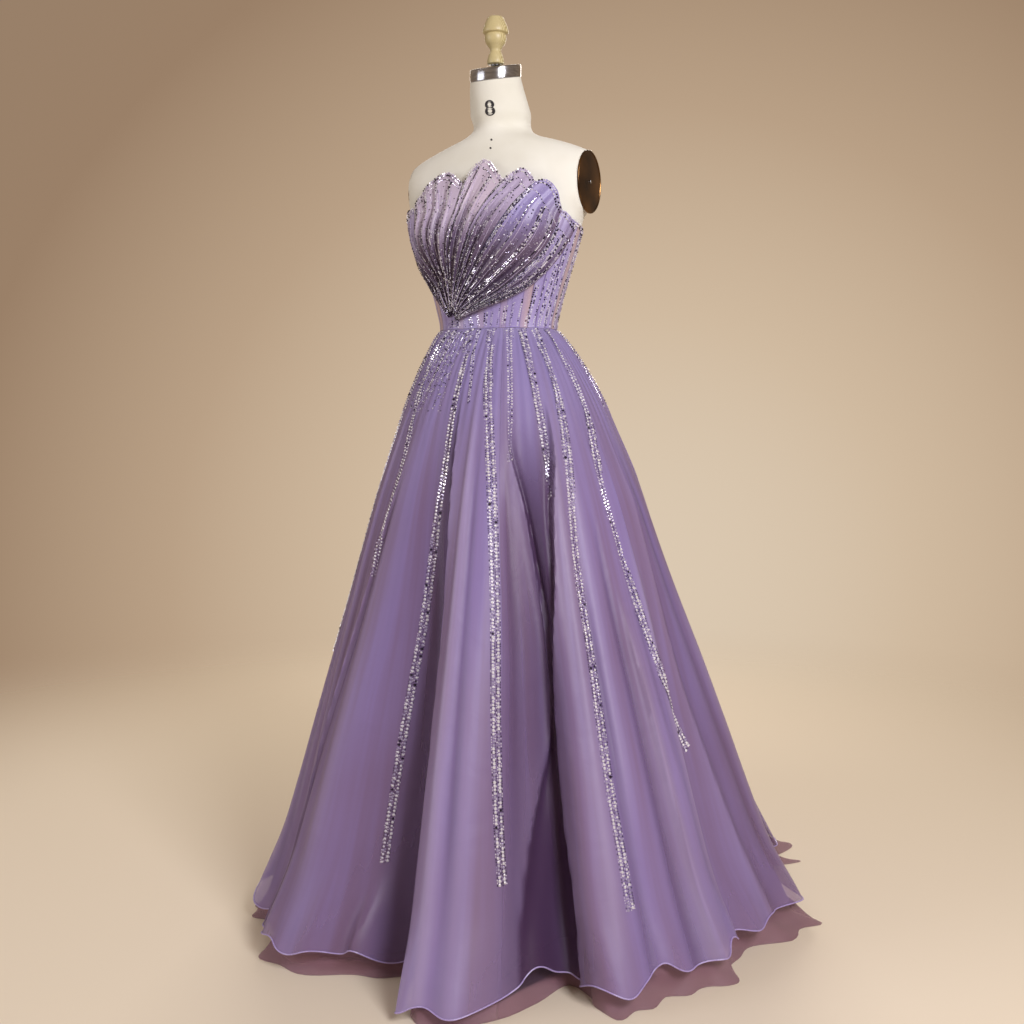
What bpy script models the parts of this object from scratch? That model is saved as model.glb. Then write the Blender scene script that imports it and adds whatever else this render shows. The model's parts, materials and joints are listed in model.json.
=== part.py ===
"""A strapless A-line prom gown, standing on a limbless dress form.

Metres, +Z up. The gown's front faces -Y and the wearer's left is +X. The origin is the
centre of the form's base plate, on the floor.

Two coordinates place every point of cloth. "turn" is the angle in degrees round the pole,
0 at the front and 90 at the wearer's left. "rise" is the height above the waist seam, and
on the skirt "drop" runs from 0 at the waist seam to 1 at the outer hem.
"""
from collections import namedtuple
import math

import bmesh
import bpy
import numpy as np

# Driving dimensions
WAIST_HEIGHT = 1.140
SEAM_GAP = 0.0003
LINING_CLEAR = 0.0024
BODICE_WALL = 0.0016
PETAL_CLEAR = 0.0024
PETAL_WALL = 0.0012
SKIRT_WALL = 0.0016
UNDER_WALL = 0.0012
UNDER_SEAT = 0.0006
UNDER_INSET = 0.0092
UNDER_INSET_DROP = 0.25
UNDER_GAP = 0.0006
FLOOR_CLEAR = 0.0006

# The form's torso, one row for each level above or below the waist seam
Section = namedtuple("Section", "rise half_width front back")
TORSO = (
    Section(-0.262, 0.128, 0.074, 0.122),
    Section(-0.250, 0.150, 0.090, 0.140),
    Section(-0.200, 0.166, 0.099, 0.155),
    Section(-0.120, 0.156, 0.094, 0.150),
    Section(-0.050, 0.130, 0.079, 0.132),
    Section(0.000, 0.1175, 0.070, 0.123),
    Section(0.050, 0.1280, 0.071, 0.128),
    Section(0.100, 0.1430, 0.078, 0.136),
    Section(0.150, 0.1600, 0.087, 0.142),
    Section(0.190, 0.1720, 0.092, 0.145),
    Section(0.225, 0.1840, 0.089, 0.144),
    Section(0.255, 0.2100, 0.082, 0.138),
    Section(0.285, 0.2280, 0.074, 0.128),
    Section(0.315, 0.2220, 0.065, 0.116),
    Section(0.336, 0.1950, 0.057, 0.102),
    Section(0.350, 0.1650, 0.052, 0.092),
    Section(0.364, 0.1260, 0.047, 0.086),
    Section(0.376, 0.0860, 0.042, 0.081),
    Section(0.386, 0.0670, 0.036, 0.084),
    Section(0.425, 0.0600, 0.040, 0.074),
    Section(0.4875, 0.0495, 0.0495, 0.0495),
)
NECK_BASE_RISE = 0.386
NECK_TILT = 14.0
# The shoulders and the neck's sides are set back from the chest, from one rise to the next
SHOULDER_BACK = 0.024
SHOULDER_BACK_FROM = 0.200
SHOULDER_BACK_TO = 0.280
BUST_TURN = 29.0
BUST_TURN_SPREAD = 24.0
BUST_RISE = 0.172
BUST_RISE_SPREAD = 0.058
BUST_SWELL = 0.20
TORSO_SIDES = 36
TORSO_FINE_FROM = -0.06
TORSO_FINE_TO = 0.20

# Dress form fittings
NECK_CAP_RADIUS = 0.0500
NECK_CAP_HEIGHT = 0.0240
NECK_CAP_SIDES = 36
STUD_RADIUS = 0.0090
STUD_HEIGHT = 0.0025
FINIAL_SIDES = 20
FINIAL_PROFILE = (
    (0.0000, 0.0130),
    (0.0030, 0.0165),
    (0.0110, 0.0150),
    (0.0230, 0.0125),
    (0.0290, 0.0170),
    (0.0400, 0.0210),
    (0.0510, 0.0215),
    (0.0560, 0.0190),
    (0.0600, 0.0235),
    (0.0680, 0.0245),
    (0.0790, 0.0220),
    (0.0880, 0.0130),
    (0.0915, 0.0040),
)
ARM_PLATE_RISE = 0.281
ARM_PLATE_BACK = 0.032
ARM_PLATE_HALF_HEIGHT = 0.060
ARM_PLATE_HALF_DEPTH = 0.054
ARM_PLATE_SIDES = 32
ARM_PLATE_THICK = 0.0025
ARM_FLAT = 0.1860
POLE_RADIUS = 0.0160
POLE_SIDES = 20
BASE_SIDES = 32
BASE_PROFILE = (
    (0.0000, 0.1900),
    (0.0120, 0.1900),
    (0.0200, 0.1780),
    (0.0280, 0.0500),
    (0.0480, 0.0260),
    (0.0560, 0.0250),
)

# The bodice's upper edge under the petals, one row for each turn round the body
TopEdge = namedtuple("TopEdge", "turn rise")
BODICE_TOP = (
    TopEdge(-180.0, 0.150),
    TopEdge(-140.0, 0.165),
    TopEdge(-100.0, 0.195),
    TopEdge(-70.0, 0.212),
    TopEdge(-35.0, 0.222),
    TopEdge(0.0, 0.205),
    TopEdge(35.0, 0.222),
    TopEdge(70.0, 0.208),
    TopEdge(100.0, 0.196),
    TopEdge(140.0, 0.165),
)
Panel = namedtuple("Panel", "name start end columns")
BODICE_PANELS = (
    Panel("bodice_front", -32.0, 32.0, 12),
    Panel("bodice_side_front_left", 32.0, 76.0, 9),
    Panel("bodice_side_left", 76.0, 120.0, 8),
    Panel("bodice_back_left", 120.0, 180.0, 8),
    Panel("bodice_back_right", -180.0, -120.0, 8),
    Panel("bodice_side_right", -120.0, -76.0, 8),
    Panel("bodice_side_front_right", -76.0, -32.0, 9),
)
BODICE_ROWS = 8
BODICE_HEIGHT = 0.20

# The fan of petals, gathered at one place on the wearer's right of the waist seam
FAN_TURN = -30.0
FAN_RISE = 0.011
FAN_START = 0.07
FAN_SAG = 0.55
FAN_SAG_FROM = 10.0
FAN_SAG_OVER = 65.0
FAN_SAG_CURVE = 6
PLEAT_LIFT = 0.0075
PETAL_OVERLAP = 0.0030
PLEAT_EVEN = 0.25
PLEAT_FULLEST = 0.8
PLEAT_POINTS = 4
SCALLOP_POINT = 1.3
TIP_LEAN = 0.0040
TIP_LEAN_FROM = 0.70
GATHER_CLEAR = 0.0004
GATHER_LENGTH = 0.20
Petal = namedtuple("Petal", "name start_turn start_rise peak_turn peak_rise end_turn end_rise ridges")
PETALS = (
    Petal("petal_1", -88.0, 0.190, -62.0, 0.230, -44.0, 0.238, 3),
    Petal("petal_2", -44.0, 0.238, -17.0, 0.297, -6.0, 0.273, 4),
    Petal("petal_3", -6.0, 0.273, 4.0, 0.315, 15.0, 0.275, 3),
    Petal("petal_4", 15.0, 0.275, 25.0, 0.293, 32.0, 0.269, 3),
    Petal("petal_5", 32.0, 0.269, 39.0, 0.271, 60.0, 0.218, 4),
    Petal("petal_6", 60.0, 0.218, 67.0, 0.213, 80.0, 0.192, 3),
)
PETAL_ROWS = 11

# The outer skirt: how far it spreads as it falls, and its reach at the hem
Spread = namedtuple("Spread", "drop share")
SKIRT_SPREAD = (
    Spread(0.00, 0.000),
    Spread(0.05, 0.088),
    Spread(0.10, 0.160),
    Spread(0.15, 0.220),
    Spread(0.20, 0.272),
    Spread(0.30, 0.370),
    Spread(0.40, 0.455),
    Spread(0.50, 0.540),
    Spread(0.60, 0.628),
    Spread(0.70, 0.715),
    Spread(0.80, 0.800),
    Spread(0.90, 0.892),
    Spread(1.00, 1.000),
)
Reach = namedtuple("Reach", "turn radius height splay")
HEM_REACH = (
    Reach(-180.0, 0.690, 0.022, 0.040),
    Reach(-140.0, 0.620, 0.024, 0.030),
    Reach(-100.0, 0.510, 0.032, 0.022),
    Reach(-55.0, 0.464, 0.042, 0.020),
    Reach(-25.0, 0.522, 0.040, 0.018),
    Reach(12.0, 0.592, 0.024, 0.018),
    Reach(45.0, 0.586, 0.040, 0.018),
    Reach(68.0, 0.584, 0.050, 0.020),
    Reach(90.0, 0.598, 0.046, 0.026),
    Reach(122.0, 0.612, 0.034, 0.075),
    Reach(150.0, 0.662, 0.024, 0.050),
)
Fold = namedtuple("Fold", "turn half_width depth begins lean")
SKIRT_FOLDS = (
    Fold(-1.0, 17.0, 0.130, 0.06, 10.0),
    Fold(34.0, 13.0, 0.110, 0.10, 8.0),
    Fold(84.0, 14.0, 0.045, 0.30, -4.0),
    Fold(116.0, 17.0, 0.110, 0.14, 8.0),
    Fold(152.0, 15.0, 0.120, 0.10, -7.0),
    Fold(188.0, 16.0, 0.110, 0.12, 6.0),
    Fold(222.0, 15.0, 0.120, 0.14, -8.0),
    Fold(258.0, 17.0, 0.110, 0.10, 8.0),
    Fold(296.0, 16.0, 0.100, 0.14, -8.0),
    Fold(327.0, 10.0, 0.030, 0.40, 0.0),
)
FOLD_LATE = 0.45
FOLD_LEAN_RATE = 2.0
WAVES = 19
WAVE_DEPTH = 0.005
WAVE_BEGINS = 0.72
SKIRT_PANELS = (
    Panel("skirt_front", -26.0, 26.0, 16),
    Panel("skirt_side_front_left", 26.0, 78.0, 16),
    Panel("skirt_side_back_left", 78.0, 129.0, 16),
    Panel("skirt_back_left", 129.0, 180.0, 16),
    Panel("skirt_back_right", -180.0, -129.0, 16),
    Panel("skirt_side_back_right", -129.0, -78.0, 16),
    Panel("skirt_side_front_right", -78.0, -26.0, 16),
)
SKIRT_ROWS = 12
SKIRT_ROW_CROWDING = 1.1
UNDER_DROPS = (0.02, 0.25, 0.50, 0.75, 1.00, 1.50, 2.00)
UNDER_WAVES = 15
UNDER_WAVE_SHARE = 0.45
UNDER_SPLAY_CURVE = 1.5

# How surfaces are sampled and shaded
STEP = 1e-4
SHORT_OF_HEM = 1.0 - 3.0 * STEP
SEAM_PROBE = 0.05
SHARP_ANGLE = 50.0


def read_table(rows, position, around=None):
    """Read a table's columns at a position, by a smooth curve through its rows."""
    table = np.array([tuple(row) for row in rows], dtype=float)
    if around:
        before = table.copy()
        after = table.copy()
        before[:, 0] -= around
        after[:, 0] += around
        table = np.vstack((before, table, after))
    keys = table[:, 0]
    values = table[:, 1:]
    slopes = np.gradient(values, keys, axis=0)
    position = np.asarray(position, dtype=float)
    index = np.clip(np.searchsorted(keys, position, side="right") - 1, 0, len(keys) - 2)
    span = keys[index + 1] - keys[index]
    part = np.clip((position - keys[index]) / span, 0.0, 1.0)[..., None]
    span = span[..., None]
    start = values[index] * (1 + 2 * part) * (1 - part) ** 2
    leave = slopes[index] * span * part * (1 - part) ** 2
    end = values[index + 1] * part ** 2 * (3 - 2 * part)
    arrive = slopes[index + 1] * span * part ** 2 * (part - 1)
    return start + leave + end + arrive


def wrap_turn(turn):
    """Bring a turn into -180 to 180 degrees."""
    return (np.asarray(turn, dtype=float) + 180.0) % 360.0 - 180.0


def ease(value):
    """Rise smoothly from 0 to 1 as the value does."""
    value = np.clip(value, 0.0, 1.0)
    return value * value * (3.0 - 2.0 * value)


def torso_point(turn, rise):
    """A point on the form's skin."""
    columns = read_table(TORSO, rise)
    half_width = columns[..., 0]
    angle = np.radians(turn)
    forward = np.cos(angle)
    depth = np.where(forward > 0, columns[..., 1], columns[..., 2])
    away = (np.abs(wrap_turn(turn)) - BUST_TURN) / BUST_TURN_SPREAD
    level = (np.asarray(rise) - BUST_RISE) / BUST_RISE_SPREAD
    swell = 1.0 + BUST_SWELL * np.exp(-away ** 2 - level ** 2)
    up_neck = np.clip((rise - NECK_BASE_RISE) / (TORSO[-1].rise - NECK_BASE_RISE), 0.0, 1.0)
    set_back = ease((rise - SHOULDER_BACK_FROM) / (SHOULDER_BACK_TO - SHOULDER_BACK_FROM))
    set_back = SHOULDER_BACK * set_back * (1.0 - ease(up_neck)) * np.sin(angle) ** 2
    x = half_width * np.sin(angle) * swell
    y = set_back - depth * forward * swell
    z = WAIST_HEIGHT + rise + math.tan(math.radians(NECK_TILT)) * up_neck * y
    return np.stack((x, y, z), axis=-1)


def moved_out(surface, across, along, distance):
    """Points of a surface moved out along its normal by a distance."""
    point = surface(across, along)
    sideways = surface(across + STEP, along) - surface(across - STEP, along)
    upward = surface(across, along + STEP) - surface(across, along - STEP)
    normal = np.cross(sideways, upward)
    normal /= np.linalg.norm(normal, axis=-1, keepdims=True)
    return point + normal * np.asarray(distance)[..., None]


def skirt_point(turn, fall):
    """A point on the outer skirt's inner face; fall is minus the drop, so that it rises."""
    drop = -np.asarray(fall, dtype=float)
    turn = np.asarray(turn, dtype=float)
    share = read_table(SKIRT_SPREAD, drop)[..., 0]
    waist = torso_point(turn, np.zeros_like(turn))
    reach = read_table(HEM_REACH, wrap_turn(turn), around=360.0)
    radius = reach[..., 0]
    hem_height = reach[..., 1]
    fold_depth = np.zeros_like(turn)
    fold_lean = np.zeros_like(turn)
    for fold in SKIRT_FOLDS:
        away = np.clip(np.abs(wrap_turn(turn - fold.turn)) / fold.half_width, 0.0, 1.0)
        shape = np.cos(away * math.pi / 2) ** 2
        grown = np.clip((drop - fold.begins) / (1.0 - fold.begins), 0.0, 1.0)
        grown = FOLD_LATE * ease(grown) + (1.0 - FOLD_LATE) * grown
        fold_depth = fold_depth + fold.depth * shape * grown
        fold_lean = fold_lean + fold.lean * shape * ease(grown * FOLD_LEAN_RATE)
    wave = 0.5 + 0.5 * np.cos(np.radians(turn) * WAVES)
    fold_depth = fold_depth + WAVE_DEPTH * wave * ease((drop - WAVE_BEGINS) / (1.0 - WAVE_BEGINS))
    angle = np.radians(turn + fold_lean)
    hem = np.stack((radius * np.sin(angle), -radius * np.cos(angle)), axis=-1)
    flat = waist[..., :2] + (hem - waist[..., :2]) * share[..., None]
    direction = np.stack((np.sin(angle), -np.cos(angle)), axis=-1)
    flat = flat - direction * fold_depth[..., None]
    height = WAIST_HEIGHT + (hem_height - WAIST_HEIGHT) * drop
    return np.concatenate((flat, height[..., None]), axis=-1)


def bodice_top(turn):
    """Rise of the bodice's upper edge."""
    return read_table(BODICE_TOP, wrap_turn(turn), around=360.0)[..., 0]


def make_material(name, colour, roughness, metallic=0.0):
    """A plain Principled finish."""
    material = bpy.data.materials.new(name)
    material.use_nodes = True
    shader = material.node_tree.nodes["Principled BSDF"]
    shader.inputs["Base Color"].default_value = (*colour, 1.0)
    shader.inputs["Roughness"].default_value = roughness
    shader.inputs["Metallic"].default_value = metallic
    return material


def add_object(name, vertices, faces, material):
    """Make a named object from points and faces, with its faces pointing out."""
    shell = bmesh.new()
    points = [shell.verts.new(tuple(vertex)) for vertex in vertices]
    for face in faces:
        shell.faces.new([points[index] for index in face])
    bmesh.ops.recalc_face_normals(shell, faces=shell.faces)
    mesh = bpy.data.meshes.new(name)
    shell.to_mesh(mesh)
    shell.free()
    mesh.shade_smooth()
    mesh.set_sharp_from_angle(angle=math.radians(SHARP_ANGLE))
    mesh.materials.append(material)
    piece = bpy.data.objects.new(name, mesh)
    bpy.context.scene.collection.objects.link(piece)
    return piece


def add_wall(name, inner, outer, material):
    """A closed wall between two grids of points, with both sides split along the same diagonals."""
    rows, columns = inner.shape[:2]
    count = rows * columns
    vertices = np.vstack((inner.reshape(-1, 3), outer.reshape(-1, 3)))
    rising = np.linalg.norm(outer[1:, 1:] - outer[:-1, :-1], axis=-1)
    falling = np.linalg.norm(outer[1:, :-1] - outer[:-1, 1:], axis=-1)
    faces = []
    for row in range(rows - 1):
        for column in range(columns - 1):
            a = row * columns + column
            b, c, d = a + 1, a + columns + 1, a + columns
            if rising[row, column] <= falling[row, column]:
                halves = ((a, b, c), (a, c, d))
            else:
                halves = ((a, b, d), (b, c, d))
            for half in halves:
                faces.append(half)
                faces.append(tuple(index + count for index in reversed(half)))
    rim = list(range(columns))
    rim += [row * columns + columns - 1 for row in range(1, rows)]
    rim += [(rows - 1) * columns + column for column in range(columns - 2, -1, -1)]
    rim += [row * columns for row in range(rows - 2, 0, -1)]
    for here, there in zip(rim, rim[1:] + rim[:1]):
        faces.append((here, here + count, there + count, there))
    return add_object(name, vertices, faces, material)


def seam_inset(surface, turn, along, gap):
    """Degrees that half a seam gap takes at a point of a surface."""
    reach = surface(turn + SEAM_PROBE, along) - surface(turn - SEAM_PROBE, along)
    return gap * SEAM_PROBE / np.linalg.norm(reach, axis=-1)


def panel_turns(surface, panel, along, gap=SEAM_GAP):
    """Turns of a panel's columns on each row, inset at both seams."""
    start = np.full_like(along, panel.start)
    end = np.full_like(along, panel.end)
    start = start + seam_inset(surface, start, along, gap)
    end = end - seam_inset(surface, end, along, gap)
    steps = np.linspace(0.0, 1.0, panel.columns)
    return start[:, None] + (end - start)[:, None] * steps[None, :]


def build_bodice(material):
    """The bodice's seven panels, from the waist seam to the upper edge."""
    for panel in BODICE_PANELS:
        steps = np.linspace(0.0, 1.0, BODICE_ROWS)
        turns = panel_turns(torso_point, panel, steps * BODICE_HEIGHT)
        rises = SEAM_GAP + (bodice_top(turns) - SEAM_GAP) * steps[:, None]
        inner = moved_out(torso_point, turns, rises, np.full_like(turns, LINING_CLEAR))
        outer = moved_out(torso_point, turns, rises, np.full_like(turns, LINING_CLEAR + BODICE_WALL))
        add_wall(panel.name, inner, outer, material)


def petal_edge(petal, across):
    """Turn and rise of a petal's scalloped edge; across runs from its start to its end."""
    peak = (petal.peak_turn - petal.start_turn) / (petal.end_turn - petal.start_turn)
    turn = petal.start_turn + (petal.end_turn - petal.start_turn) * across
    chord = petal.start_rise + (petal.end_rise - petal.start_rise) * across
    crest = petal.peak_rise - petal.start_rise - (petal.end_rise - petal.start_rise) * peak
    bow = np.where(across < peak, across / peak, (1.0 - across) / (1.0 - peak))
    return turn, chord + crest * np.sin(bow * math.pi / 2) ** SCALLOP_POINT


def petal_path(petal, across, along):
    """Turn and rise of a petal's point; along runs from the gather at the waist to the edge."""
    edge_turn, edge_rise = petal_edge(petal, across)
    sag = FAN_SAG * ease((edge_turn - FAN_SAG_FROM) / FAN_SAG_OVER)
    climb = (1.0 - sag) * along + sag * along ** FAN_SAG_CURVE
    return FAN_TURN + (edge_turn - FAN_TURN) * along, FAN_RISE + (edge_rise - FAN_RISE) * climb


def petal_grid(petal):
    """Turn, rise and lift of a petal's points, inset by half a seam gap at both sides."""
    steps = np.linspace(0.0, 1.0, PLEAT_POINTS * petal.ridges + 1)[None, :]
    along = np.linspace(FAN_START, 1.0, PETAL_ROWS)[:, None]
    low = torso_point(*petal_path(petal, np.zeros_like(along), along))
    high = torso_point(*petal_path(petal, np.ones_like(along), along))
    inset = 0.5 * SEAM_GAP / np.linalg.norm(high - low, axis=-1)
    across = inset + (1.0 - 2.0 * inset) * steps
    turn, rise = petal_path(petal, across, along + 0.0 * across)
    wave = 0.5 - 0.5 * np.cos(2.0 * math.pi * petal.ridges * steps)
    fullness = PLEAT_EVEN + (1.0 - PLEAT_EVEN) * np.sin(along ** PLEAT_FULLEST * math.pi)
    lift = PLEAT_LIFT * wave * fullness + PETAL_OVERLAP * steps
    lift = lift + GATHER_CLEAR + (PETAL_CLEAR - GATHER_CLEAR) * ease((along - FAN_START) / GATHER_LENGTH)
    return turn, rise, lift + TIP_LEAN * ease((along - TIP_LEAN_FROM) / (1.0 - TIP_LEAN_FROM))


def build_petals(material):
    """The fan's petals, each over the bodice and clear of it."""
    base = LINING_CLEAR + BODICE_WALL
    for petal in PETALS:
        turn, rise, lift = petal_grid(petal)
        inner = moved_out(torso_point, turn, rise, base + lift)
        outer = moved_out(torso_point, turn, rise, base + lift + PETAL_WALL)
        add_wall(petal.name, inner, outer, material)


def build_skirt(material):
    """The outer skirt's seven gores."""
    falls = -np.linspace(0.0, 1.0, SKIRT_ROWS) ** SKIRT_ROW_CROWDING
    for panel in SKIRT_PANELS:
        turns = panel_turns(skirt_point, panel, falls)
        grid = np.broadcast_to(falls[:, None], turns.shape)
        inner = moved_out(skirt_point, turns, grid, np.full_like(turns, LINING_CLEAR))
        outer = moved_out(skirt_point, turns, grid, np.full_like(turns, LINING_CLEAR + SKIRT_WALL))
        inner[..., 2] = np.minimum(inner[..., 2], WAIST_HEIGHT)
        outer[..., 2] = np.minimum(outer[..., 2], WAIST_HEIGHT)
        add_wall(panel.name, inner, outer, material)


def under_point(turn, fall):
    """A point on the underskirt, which goes on past the outer hem and splays on the floor."""
    drop = -np.asarray(fall, dtype=float)
    above = np.clip(drop, 0.0, SHORT_OF_HEM)
    past = np.clip(drop - 1.0, 0.0, None)
    offset = UNDER_SEAT - (UNDER_SEAT + UNDER_INSET) * ease(above / UNDER_INSET_DROP)
    point = moved_out(skirt_point, turn, -above, offset)
    wave = 1.0 + UNDER_WAVE_SHARE * np.cos(np.radians(turn) * UNDER_WAVES)
    splay = read_table(HEM_REACH, wrap_turn(turn), around=360.0)[..., 2] * wave * past ** UNDER_SPLAY_CURVE
    angle = np.radians(turn)
    point = point + np.stack((np.sin(angle) * splay, -np.cos(angle) * splay, 0.0 * splay), axis=-1)
    point[..., 2] = np.maximum(point[..., 2] * (1.0 - past), FLOOR_CLEAR)
    return point


def build_underskirt(material):
    """The longer layer that shows below the outer hem, cut in the same seven gores."""
    falls = -np.array(UNDER_DROPS)
    for panel in SKIRT_PANELS:
        turns = panel_turns(under_point, panel, falls, UNDER_GAP)
        grid = np.broadcast_to(falls[:, None], turns.shape)
        outer = under_point(turns, grid)
        inner = moved_out(under_point, turns, grid, np.full_like(turns, -UNDER_WALL))
        outer[..., 2] = np.maximum(outer[..., 2], FLOOR_CLEAR + UNDER_WALL)
        inner[..., 2] = np.maximum(inner[..., 2], FLOOR_CLEAR)
        add_wall("under" + panel.name, inner, outer, material)


def add_turned(name, profile, foot, sides, material, tilt=0.0):
    """A round piece turned from rows of height and radius, closed at both ends."""
    lean = math.tan(math.radians(tilt))
    vertices = []
    for height, radius in profile:
        for side in range(sides):
            angle = 2.0 * math.pi * side / sides
            x = radius * math.cos(angle)
            y = radius * math.sin(angle)
            vertices.append((x, y, foot + height + lean * y))
    faces = tube_faces(len(profile), sides)
    return add_object(name, vertices, faces, material)


def tube_faces(rings, sides):
    """Faces that join rings of points into a closed tube."""
    faces = [tuple(reversed(range(sides)))]
    for ring in range(rings - 1):
        for side in range(sides):
            here = ring * sides + side
            there = ring * sides + (side + 1) % sides
            faces.append((here, there, there + sides, here + sides))
    faces.append(tuple(range((rings - 1) * sides, rings * sides)))
    return faces


def build_form(skin, chrome, wood, bronze, iron):
    """The dress form: torso, neck cap, finial, arm plates, pole and base."""
    levels = [section.rise for section in TORSO]
    between = [(low + high) / 2.0 for low, high in zip(levels, levels[1:])
               if TORSO_FINE_FROM < low < TORSO_FINE_TO]
    rises = np.array(sorted(levels + between))[:, None]
    turns = np.linspace(0.0, 360.0, TORSO_SIDES, endpoint=False)[None, :]
    rings = torso_point(turns + 0.0 * rises, rises + 0.0 * turns)
    rings[..., 0] = np.clip(rings[..., 0], -ARM_FLAT, ARM_FLAT)
    add_object("form_torso", rings.reshape(-1, 3), tube_faces(len(rises), TORSO_SIDES), skin)
    neck_top = WAIST_HEIGHT + TORSO[-1].rise
    cap = ((0.0, NECK_CAP_RADIUS), (NECK_CAP_HEIGHT, NECK_CAP_RADIUS))
    add_turned("form_neck_cap", cap, neck_top + SEAM_GAP, NECK_CAP_SIDES, chrome, NECK_TILT)
    stud_rise = STUD_RADIUS * math.tan(math.radians(NECK_TILT))
    stud_foot = neck_top + NECK_CAP_HEIGHT + stud_rise + 2.0 * SEAM_GAP
    stud = ((0.0, STUD_RADIUS), (STUD_HEIGHT, STUD_RADIUS))
    add_turned("form_finial_stud", stud, stud_foot, FINIAL_SIDES, chrome)
    add_turned("form_finial", FINIAL_PROFILE, stud_foot + STUD_HEIGHT + SEAM_GAP, FINIAL_SIDES, wood)
    for side, label in ((1, "left"), (-1, "right")):
        build_arm_plate("form_arm_plate_" + label, side, bronze)
    torso_bottom = WAIST_HEIGHT + TORSO[0].rise
    base_top = BASE_PROFILE[-1][0]
    pole = ((0.0, POLE_RADIUS), (torso_bottom - base_top - 2.0 * SEAM_GAP, POLE_RADIUS))
    add_turned("form_pole", pole, base_top + SEAM_GAP, POLE_SIDES, iron)
    add_turned("form_base", BASE_PROFILE, 0.0, BASE_SIDES, iron)


def build_arm_plate(name, side, material):
    """The oval plate that closes an armhole of the form."""
    sides = ARM_PLATE_SIDES
    vertices = []
    for depth in (0.0, ARM_PLATE_THICK):
        for step in range(sides):
            angle = 2.0 * math.pi * step / sides
            x = side * (ARM_FLAT + SEAM_GAP + depth)
            y = ARM_PLATE_BACK + ARM_PLATE_HALF_DEPTH * math.cos(angle)
            z = WAIST_HEIGHT + ARM_PLATE_RISE + ARM_PLATE_HALF_HEIGHT * math.sin(angle)
            vertices.append((x, y, z))
    faces = [tuple(range(sides)), tuple(reversed(range(sides, 2 * sides)))]
    for step in range(sides):
        there = (step + 1) % sides
        faces.append((step, step + sides, there + sides, there))
    add_object(name, vertices, faces, material)


def main():
    """Clear the scene and build the gown and its form."""
    for piece in list(bpy.data.objects):
        bpy.data.objects.remove(piece, do_unlink=True)
    skin = make_material("form_ivory_cover", (0.82, 0.78, 0.70), 0.8)
    chrome = make_material("chrome_plate", (0.75, 0.76, 0.78), 0.15, 1.0)
    wood = make_material("turned_pine", (0.66, 0.50, 0.30), 0.45)
    bronze = make_material("bronze_plate", (0.25, 0.18, 0.10), 0.35, 1.0)
    iron = make_material("black_iron", (0.03, 0.03, 0.03), 0.5, 0.6)
    satin = make_material("violet_satin", (0.30, 0.24, 0.50), 0.45)
    organza = make_material("violet_organza", (0.38, 0.28, 0.58), 0.4)
    mauve = make_material("mauve_tulle", (0.35, 0.22, 0.30), 0.6)
    build_form(skin, chrome, wood, bronze, iron)
    build_bodice(satin)
    build_petals(organza)
    build_skirt(organza)
    build_underskirt(mauve)


main()
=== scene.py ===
"""Looks of a beaded violet A-line gown that stands on a limbless dress form.

Metres, +Z up. The gown's front faces -Y and the wearer's left is +X. "turn" is the angle in
degrees round the pole, 0 at the front and 90 at the wearer's left. "rise" is the height above
the waist seam. "drop" runs from 0 at the waist seam to 1 at the outer hem, and on to 2 at the
underskirt's edge on the floor; "fall" is minus the drop, so that it rises.
"""

import json
import logging
import math
from dataclasses import dataclass, field
from enum import Enum
from typing import Any, Callable, NamedTuple, Optional

import bmesh
import bpy
import numpy as np
from mathutils import Matrix, Vector

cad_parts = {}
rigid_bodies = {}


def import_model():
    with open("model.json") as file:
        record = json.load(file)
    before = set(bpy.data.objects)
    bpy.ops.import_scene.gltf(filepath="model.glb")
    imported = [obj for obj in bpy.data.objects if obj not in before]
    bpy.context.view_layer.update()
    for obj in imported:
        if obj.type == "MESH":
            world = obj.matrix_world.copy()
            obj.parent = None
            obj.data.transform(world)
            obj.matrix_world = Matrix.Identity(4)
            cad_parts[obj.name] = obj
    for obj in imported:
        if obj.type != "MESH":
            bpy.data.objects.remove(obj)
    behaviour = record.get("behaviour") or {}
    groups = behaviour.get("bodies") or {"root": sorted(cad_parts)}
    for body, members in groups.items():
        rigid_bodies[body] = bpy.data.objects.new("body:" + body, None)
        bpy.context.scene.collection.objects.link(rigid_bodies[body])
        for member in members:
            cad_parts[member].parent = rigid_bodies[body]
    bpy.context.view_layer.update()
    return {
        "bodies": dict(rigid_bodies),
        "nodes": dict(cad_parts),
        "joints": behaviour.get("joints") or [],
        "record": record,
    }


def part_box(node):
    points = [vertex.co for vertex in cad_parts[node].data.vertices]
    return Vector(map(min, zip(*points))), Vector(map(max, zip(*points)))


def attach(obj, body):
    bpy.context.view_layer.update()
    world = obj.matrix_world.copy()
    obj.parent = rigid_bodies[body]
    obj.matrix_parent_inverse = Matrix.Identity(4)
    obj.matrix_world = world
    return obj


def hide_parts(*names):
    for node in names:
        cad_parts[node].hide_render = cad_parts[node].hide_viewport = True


Grid = np.ndarray
Surface = Callable[[Grid, Grid], Grid]
Route = Callable[[Grid], tuple[Grid, Grid]]
Piece = bpy.types.Object
Material = bpy.types.Material

# The wall that the solids leave for each layer of cloth
SEAM_GAP = 0.0003
LINING_CLEAR = 0.0024
BODICE_WALL = 0.0016
SKIRT_WALL = 0.0016
CLOTH_THICK = 0.0006
MILLIMETRE = 0.001
STEP = 1e-4
SHORT_OF_HEM = 1.0 - 3.0 * STEP
SEED = 11


class Held(Enum):
    """How a sheet of cloth is carried."""

    HUNG = "hung"
    GATHERED = "gathered"
    STRETCHED = "stretched"


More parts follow.
